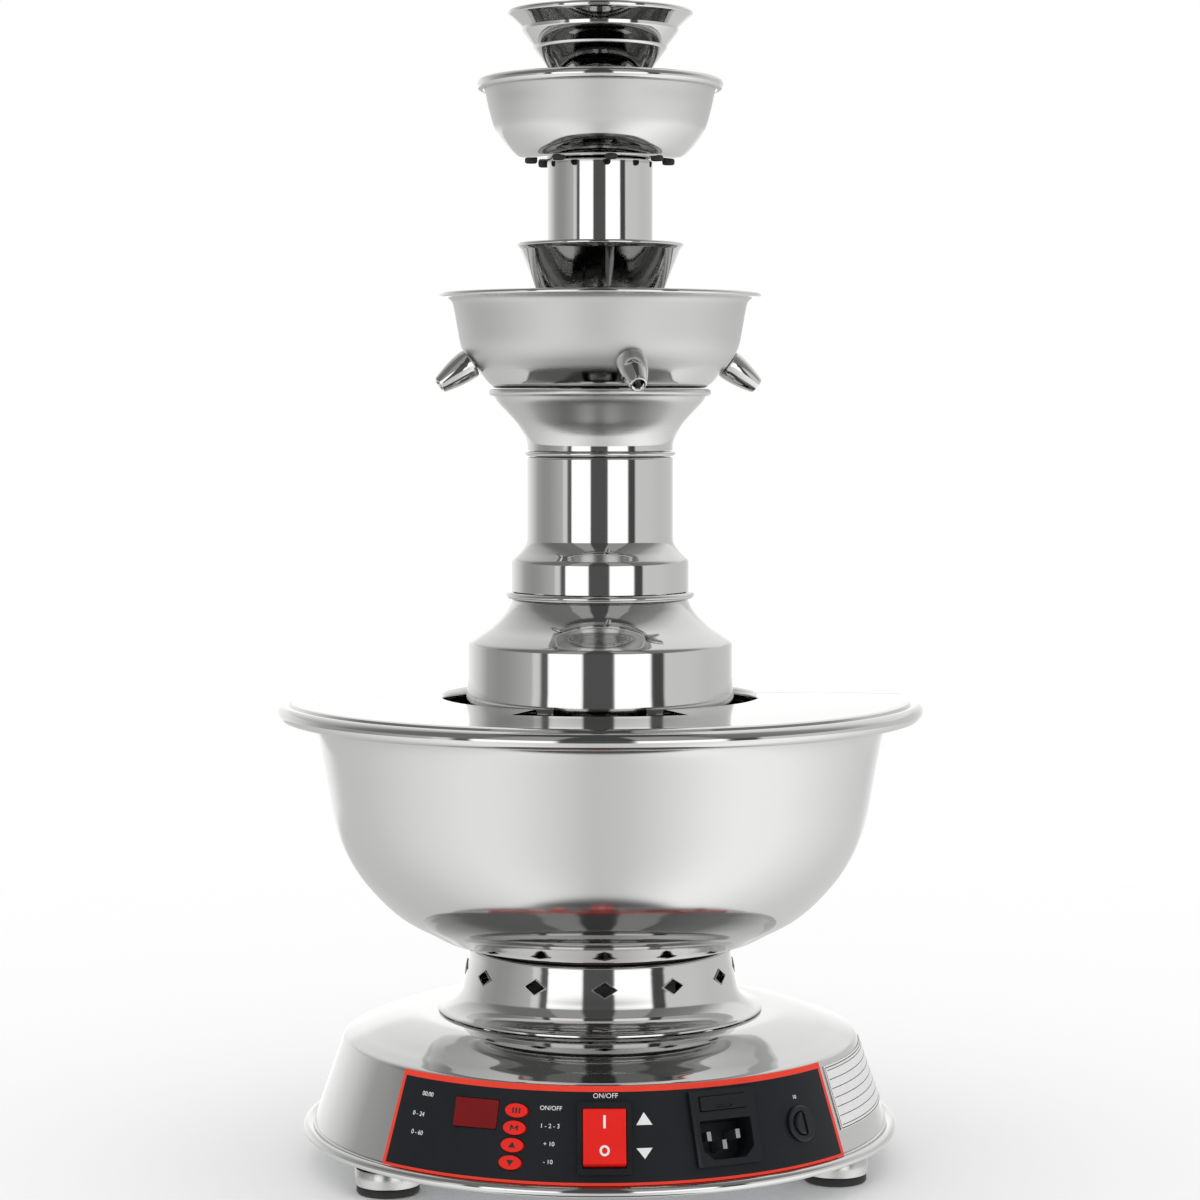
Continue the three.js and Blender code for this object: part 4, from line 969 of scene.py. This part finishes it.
def control_panel():
    strip = skirt_strip("control_panel_strip", PANEL_MIDDLE, PANEL_HALF_SPREAD, PANEL_TOP,
                        PANEL_BOTTOM, PANEL_FACE, 1.6, 60)
    display_hole = (*widened(DISPLAY_SIZE, PANEL_PLAY), CUT_DEPTH)
    cutters = [
        put(block("hole", display_hole, (0, 0, 0), 0.6, 3), above(KEYPAD, *DISPLAY)),
        put(block("hole", (*widened(SWITCH_SIZE, CLIP_PLAY), CUT_DEPTH), (0, 0, 0)), SWITCH),
        put(block("hole", (*widened(INLET_SIZE, PANEL_PLAY), CUT_DEPTH), (0, 0, 0)), INLET),
        put(drill(HOLDER_RADIUS + CLIP_PLAY, CUT_DEPTH / 2, 32), FUSE),
    ]
    key_hole = oval(*widened(KEY_SIZE, PANEL_PLAY))
    cutters += [put(prism("hole", key_hole, CUT_DEPTH, -CUT_DEPTH / 2), above(KEYPAD, x, y))
                for x, y in KEYS]
    carved(strip, *cutters)
    finish(strip, "BEVEL", width=0.25 * MM, segments=2, limit_method="ANGLE", angle_limit=turn(50))
    smooth(strip, 40)
    return dress(strip, foil, nodes=["control_panel"])


KEY_BARS = {1: [(-1.5, 0.8, 2.4), (0, 0.8, 2.4), (1.5, 0.8, 2.4)],
            2: [(-1.5, 0.7, 2.2), (1.5, 0.7, 2.2)]}


def key_mark(i, top):
    """Three bars, a zigzag, or a triangle that points up or down."""
    name, depth, low = f"key_{i}_mark", 0.07, top - 0.01
    if i not in KEY_BARS:
        s = 1 if i == 3 else -1
        return prism(name, [(-1.7, -1.1 * s), (1.7, -1.1 * s), (0, 1.5 * s)][::s], depth, low)
    bars = [put(prism("bar", rounded(width, height, 0.1, 1), depth, low),
                Matrix.Translation((x * MM, 0, 0))) for x, width, height in KEY_BARS[i]]
    if i == 2:
        bars += [put(prism("bar", rounded(0.6, 1.7, 0.1, 1), depth, low),
                     Matrix.Translation((side * 0.75 * MM, 0.25 * MM, 0))
                     @ Matrix.Rotation(turn(side * -32), 4, "Z")) for side in (-1, 1)]
    return joined(name, *bars)


KEY_DEPTH, KEY_RISE = 6.1, 1.0


def keys():
    for i, (x, y) in enumerate(KEYS, 1):
        place = above(KEYPAD, x, y)
        top = PANEL_FACE + KEY_RISE - sag(x)
        body = f"button_{i}"
        cap = prism(f"key_{i}_cap", oval(*KEY_SIZE, 48), top + KEY_DEPTH, -KEY_DEPTH, 0.6, 3)
        dress(put(cap, place), key_red, body, [body])
        dress(put(key_mark(i, top), place), black_print, body)


def display():
    x, y = DISPLAY
    window = prism("display_glass", rounded(*DISPLAY_SIZE, 0.7), 2.3, -0.5, 0.2, 2)
    dress(put(window, above(KEYPAD, x, y, 0.15 - sag(x) * 0.2)), display_red,
          nodes=["display_window"])


ROCKER_END, ROCKER_FOOT, ROCKER_CREST = 12.2, -3.5, 6.1
ROCKER_DIP, ROCKER_REACH = 1.5, 11.3
ROCKER_PIVOT = (above(SWITCH, 0, 0, FITTING_FACE + 1.4 + ROCKER_FOOT)
                @ Matrix.Rotation(turn(-7), 4, "X"))


def switch_case():
    bezel = prism("switch_bezel", rounded(23.4, 31.2, 0.9), 1.4, FITTING_FACE, 0.45, 3)
    case = block("switch_case", (*SWITCH_SIZE, 22.0), (0, 0, FITTING_FACE + 0.6 - 11.0), 0.3, 2)
    case = united("switch_case_black", bezel, case)
    carved(case, block("well", (19.2, 25.8, 30), (0, 0, 15 - 17.9), 0.6, 3))
    dress(put(case, SWITCH), black_plastic, nodes=["switch_body"])


def rocker():
    end, crest = ROCKER_END, ROCKER_CREST
    profile = [(-end, ROCKER_FOOT), (end, ROCKER_FOOT), (end, crest - 0.9),
               (end - 0.3, crest - 0.25), (end - 0.9, crest)]
    profile += [(y, crest - ROCKER_DIP * (1 - (y / ROCKER_REACH) ** 2) ** 0.9)
                for y in (8.5, 5.6, 2.8, 0, -2.8, -5.6, -8.5)]
    profile += [(-end + 0.9, crest), (-end + 0.3, crest - 0.25), (-end, crest - 0.9)]
    lever = prism("rocker_lever", profile, 18.6, -9.3)
    put(lever, Matrix(((0, 0, 1, 0), (1, 0, 0, 0), (0, 1, 0, 0), (0, 0, 0, 1))))
    finish(lever, "BEVEL", width=0.45 * MM, segments=3, limit_method="ANGLE",
           angle_limit=turn(50))
    smooth(lever, 30)
    dress(put(lever, ROCKER_PIVOT), red_plastic, "rocker", ["rocker"])


def rocker_marks():
    """A bar and a ring, each laid along its half of the dished face."""
    slope = 1.12 * math.atan2(ROCKER_DIP, ROCKER_REACH)
    bar = prism("rocker_on_mark", rounded(1.1, 5.6, 0.2, 2), PRINT_DEPTH)
    put(bar, above(ROCKER_PIVOT, 0, 6.4, ROCKER_CREST - 0.92) @ Matrix.Rotation(slope, 4, "X"))
    dress(bar, white_print, "rocker")
    ring = prism("rocker_off_mark", oval(4.4, 5.0, 40), PRINT_DEPTH)
    carved(ring, prism("eye", oval(2.4, 3.0, 32), 2, -1))
    put(ring, above(ROCKER_PIVOT, 0, -6.2, ROCKER_CREST - 0.97) @ Matrix.Rotation(-slope, 4, "X"))
    dress(ring, white_print, "rocker")


INLET_MOUTH = FITTING_FACE + 1.1
SOCKET_DROP, SOCKET_CUT, DRAWER_LIFT = 5.2, 4.6, 10.6


def inlet_case():
    flange = prism("inlet_flange", rounded(31.6, 33.0, 1.2), 1.1, FITTING_FACE, 0.35, 3)
    case = block("inlet_case", (*INLET_SIZE, 23.5), (0, 0, 2.8 - 11.75), 0.6, 2)
    case = united("inlet_case_black", flange, case)
    opening = rounded(24.8, 17.2, 0.8, 5, chamfers=(2, 3), cut=SOCKET_CUT)
    socket = put(prism("socket", opening, 30, INLET_MOUTH - 16.0),
                 Matrix.Translation((0, -SOCKET_DROP * MM, 0)))
    drawer = block("drawer_slot", (22.6, 6.6, 30), (0, DRAWER_LIFT, INLET_MOUTH - 17.3 + 15),
                   0.3, 2)
    slots = [block("pin_slot", (2.6, 4.6, 40), (x, y - SOCKET_DROP, -16), 0)
             for x, y in ((-7, 2), (0, -2), (7, 2))]
    carved(case, socket, drawer, *slots)
    ridge = block("inlet_ridge", (1.6, 33.0, 1.9), (-15.0, 0, FITTING_FACE + 0.95), 0.5, 3)
    joined("inlet_case_black", case, ridge)
    dress(put(case, INLET), black_plastic, nodes=["inlet_body"])


def fuse_drawer():
    face = prism("fuse_drawer_front", rounded(22.0, 6.0, 0.5), 17.8, INLET_MOUTH - 17.0, 0.3, 2)
    carved(face, block("grip", (8.0, 1.2, 2.0), (0, -1.6, INLET_MOUTH + 0.8), 0.3, 2))
    put(face, above(INLET, 0, DRAWER_LIFT))
    dress(face, black_plastic, "fuse_drawer", ["inlet_fuse_drawer"])


HOLDER_MOUTH, HOLDER_FLOOR = FITTING_FACE + 1.2, -20.8


def fuse_holder():
    front, mouth, floor = FITTING_FACE, HOLDER_MOUTH, HOLDER_FLOOR
    loop = [(0, -22), (HOLDER_RADIUS, -22), (HOLDER_RADIUS, front), (7.7, front),
            (8, front + 0.3), (8, mouth - 0.4), (7.5, mouth), (5.6, mouth),
            (5.25, mouth - 0.3), (5.25, floor), (0, floor)]
    body = turned("fuse_holder_turned", loop, steps=48, angle=30)
    dress(put(body, FUSE), black_plastic, nodes=["fuse_holder"])


def fuse_cap():
    low, top = HOLDER_FLOOR + 0.3, HOLDER_MOUTH + 1.6
    loop = [(0, low), (5, low), (5, top - 0.6), (4.4, top), (0, top)]
    cap = turned("fuse_cap_turned", loop, steps=48, angle=30)
    carved(cap, block("coin_slot", (1.6, 14, 2.0), (0, 0, top), 0))
    dress(put(cap, FUSE), black_plastic, "fuse_cap", ["fuse_cap"])


PANEL_WORDS = [
    ("switch_words", "ON/OFF", 3.0, -3.5, 4.3),
    ("key_1_words", "ON/OFF", 2.7, -14.3, 10.0),
    ("key_2_words", "1 - 2 - 3", 2.7, -14.3, 17.7),
    ("key_3_words", "+ 10", 2.7, -14.3, 25.4),
    ("key_4_words", "- 10", 2.7, -14.3, 33.1),
    ("display_words_1", "00:00", 2.8, -41.7, 9.1),
    ("display_words_2", "0 - 24", 2.8, -43.0, 18.2),
    ("display_words_3", "0 - 60", 2.8, -42.4, 26.3),
    ("fuse_words", "10", 2.4, 38.2, 12.3),
]


def panel_marks():
    def print_on_panel(piece, azimuth, drop):
        place = above(on_skirt(azimuth, drop), 0, 0, PANEL_FACE - PRINT_SUNK)
        dress(put(piece, place), white_print)

    up = [(-3.55, -2.75), (3.55, -2.75), (0, 2.75)]
    down = [(-3.55, 2.35), (0, -2.35), (3.55, 2.35)]
    print_on_panel(prism("arrow_up", up, PRINT_DEPTH), 4.0, 14.3)
    print_on_panel(prism("arrow_down", down, PRINT_DEPTH), 3.8, 29.3)
    for name, words, height, azimuth, drop in PANEL_WORDS:
        print_on_panel(lettering(name, words, height, (0, 0, 0.06)), azimuth, drop)


def blank_plate():
    plate = skirt_strip("blank_plate", PLATE_MIDDLE, PLATE_HALF_SPREAD, PLATE_TOP, PLATE_BOTTOM,
                        0.5, 0.45, 36)
    dress(plate, plate_foil)


base_shell()
feet()
collar()
neck_gasket()
large_bowl()
lid_half("front")
lid_half("back")
pedestal()
joint_ring("lower", inner=39.5, outer=43.6, bead=1.5, bead_centre=43.0, swing=60, steps=112)
column()
joint_ring("upper", inner=30.6, outer=34.6, bead=1.1, bead_centre=34.5, swing=70, steps=104)
trumpet()
middle_bowl()
taps()
catch_cup()
upper_column()
upper_bowl()
spout_grommets()
crown()
riser_tube()
outlet_head()
control_panel()
keys()
display()
switch_case()
rocker()
rocker_marks()
inlet_case()
fuse_drawer()
fuse_holder()
fuse_cap()
panel_marks()
blank_plate()


# Stage, light and camera

# The room is white with a strength of 1, but what polished steel mirrors is a room of light and
# dark walls. ROOM gives how bright they are by azimuth, below, level with and above the steel.
# A ramp holds no more than 1, so colours are divided by LIGHT and the light has that strength.
LIGHT = 1.7
ROOM_GLOW = 1.4
OVERHEAD = 0.08
LOW_WALL_ENDS, HIGH_WALL_STARTS, CEILING_STARTS = (-0.235, -0.19), (0.20, 0.30), (0.925, 0.955)
FLOOR_RADIUS = 0.9
ROOM = {
    "low": [(-180, 0.5), (-150, 0.52), (-120, 0.6), (-90, 0.75), (-62, 0.86), (-45, 0.84),
            (-25, 0.72), (-8, 0.58), (8, 0.62), (30, 0.8), (45, 0.92), (60, 0.98), (80, 0.95),
            (105, 0.8), (130, 0.65), (160, 0.55), (180, 0.5)],
    "middle": [(-180, 0.95), (-165, 0.8), (-150, 0.75), (-134, 0.59), (-118, 0.34), (-103, 0.285),
               (-91, 0.30), (-80, 0.355), (-70, 0.41), (-65.5, 0.44), (-63.5, 0.64), (-58, 0.62),
               (-55.5, 0.10), (-50.5, 0.10), (-49, 1.2), (-20.2, 1.2), (-18.4, 0.08), (6.8, 0.08),
               (8.2, 1.2), (38.8, 1.2), (41.0, 0.06), (51.0, 0.06), (53.0, 0.6), (80, 0.59),
               (101, 0.545), (143, 0.56), (160, 0.7), (165, 0.8), (180, 0.95)],
    "high": [(-180, 0.75), (-167, 0.7), (-137, 0.46), (-119, 0.33), (-105, 0.18), (-90, 0.15),
             (-48, 0.16), (-46, 0.3), (-21, 0.3), (-18, 0.06), (7, 0.06), (9, 0.3), (38, 0.3),
             (40, 0.14), (90, 0.24), (105, 0.44), (128, 0.7), (150, 0.75), (180, 0.75)],
}


def studio():
    bpy.ops.object.select_all(action="DESELECT")
    bpy.ops.mesh.primitive_circle_add(vertices=96, radius=FLOOR_RADIUS, fill_type="NGON")
    floor = bpy.context.object
    floor.name = "studio_floor"
    pale = Coat("pale_floor", Roughness=0.9, Base_Color=grey(1.0), Specular_IOR_Level=0.0)
    floor.data.materials.append(pale.material)
    floor.visible_glossy = False

    world = bpy.data.worlds.new("studio")
    bpy.context.scene.world = world
    world.use_nodes = True
    world.node_tree.nodes.clear()
    sky = Graph(world.node_tree)
    x, y, z = sky.axes("Generated")
    share = x.azimuth(y) / math.tau + 0.5
    round_room = {
        height: sky.node("ShaderNodeValToRGB", {"stops": [
            ((azimuth + 180) / 360, grey(value * ROOM_GLOW / LIGHT))
            for azimuth, value in walls]}, {0: share})
        for height, walls in ROOM.items()}
    seen = sky.mixed(sky.between(z, *LOW_WALL_ENDS), round_room["low"], round_room["middle"])
    seen = sky.mixed(sky.between(z, *HIGH_WALL_STARTS), seen, round_room["high"])
    seen = sky.mixed(sky.between(abs(z), *CEILING_STARTS), seen, grey(OVERHEAD / LIGHT))
    metal_sees = sky.node("ShaderNodeLightPath", out="Is Glossy Ray")
    shown = sky.mixed(metal_sees, grey(1.0 / LIGHT), seen)
    light = sky.node("ShaderNodeBackground", {}, {"Color": shown, "Strength": LIGHT})
    sky.node("ShaderNodeOutputWorld", {}, {"Surface": light})


# Where the photograph was taken from, fitted to the rims of the bowls
CAMERA_AZIMUTH, CAMERA_DISTANCE, CAMERA_HEIGHT, LOOKS_DOWN = -4.6, 1450, 357, 3.685
LENS, SENSOR_WIDTH = 92.92, 36.0


def camera():
    camera_data = bpy.data.cameras.new("camera")
    camera_data.lens = LENS
    camera_data.sensor_width = SENSOR_WIDTH
    camera_data.clip_end = 50
    viewer = bpy.data.objects.new("camera", camera_data)
    bpy.context.scene.collection.objects.link(viewer)
    viewer.location = standing(CAMERA_AZIMUTH, CAMERA_DISTANCE, CAMERA_HEIGHT).translation
    viewer.rotation_euler = (turn(90 - LOOKS_DOWN), 0, turn(CAMERA_AZIMUTH))
    bpy.context.scene.camera = viewer
    bpy.context.scene.view_settings.view_transform = "Standard"


studio()
camera()
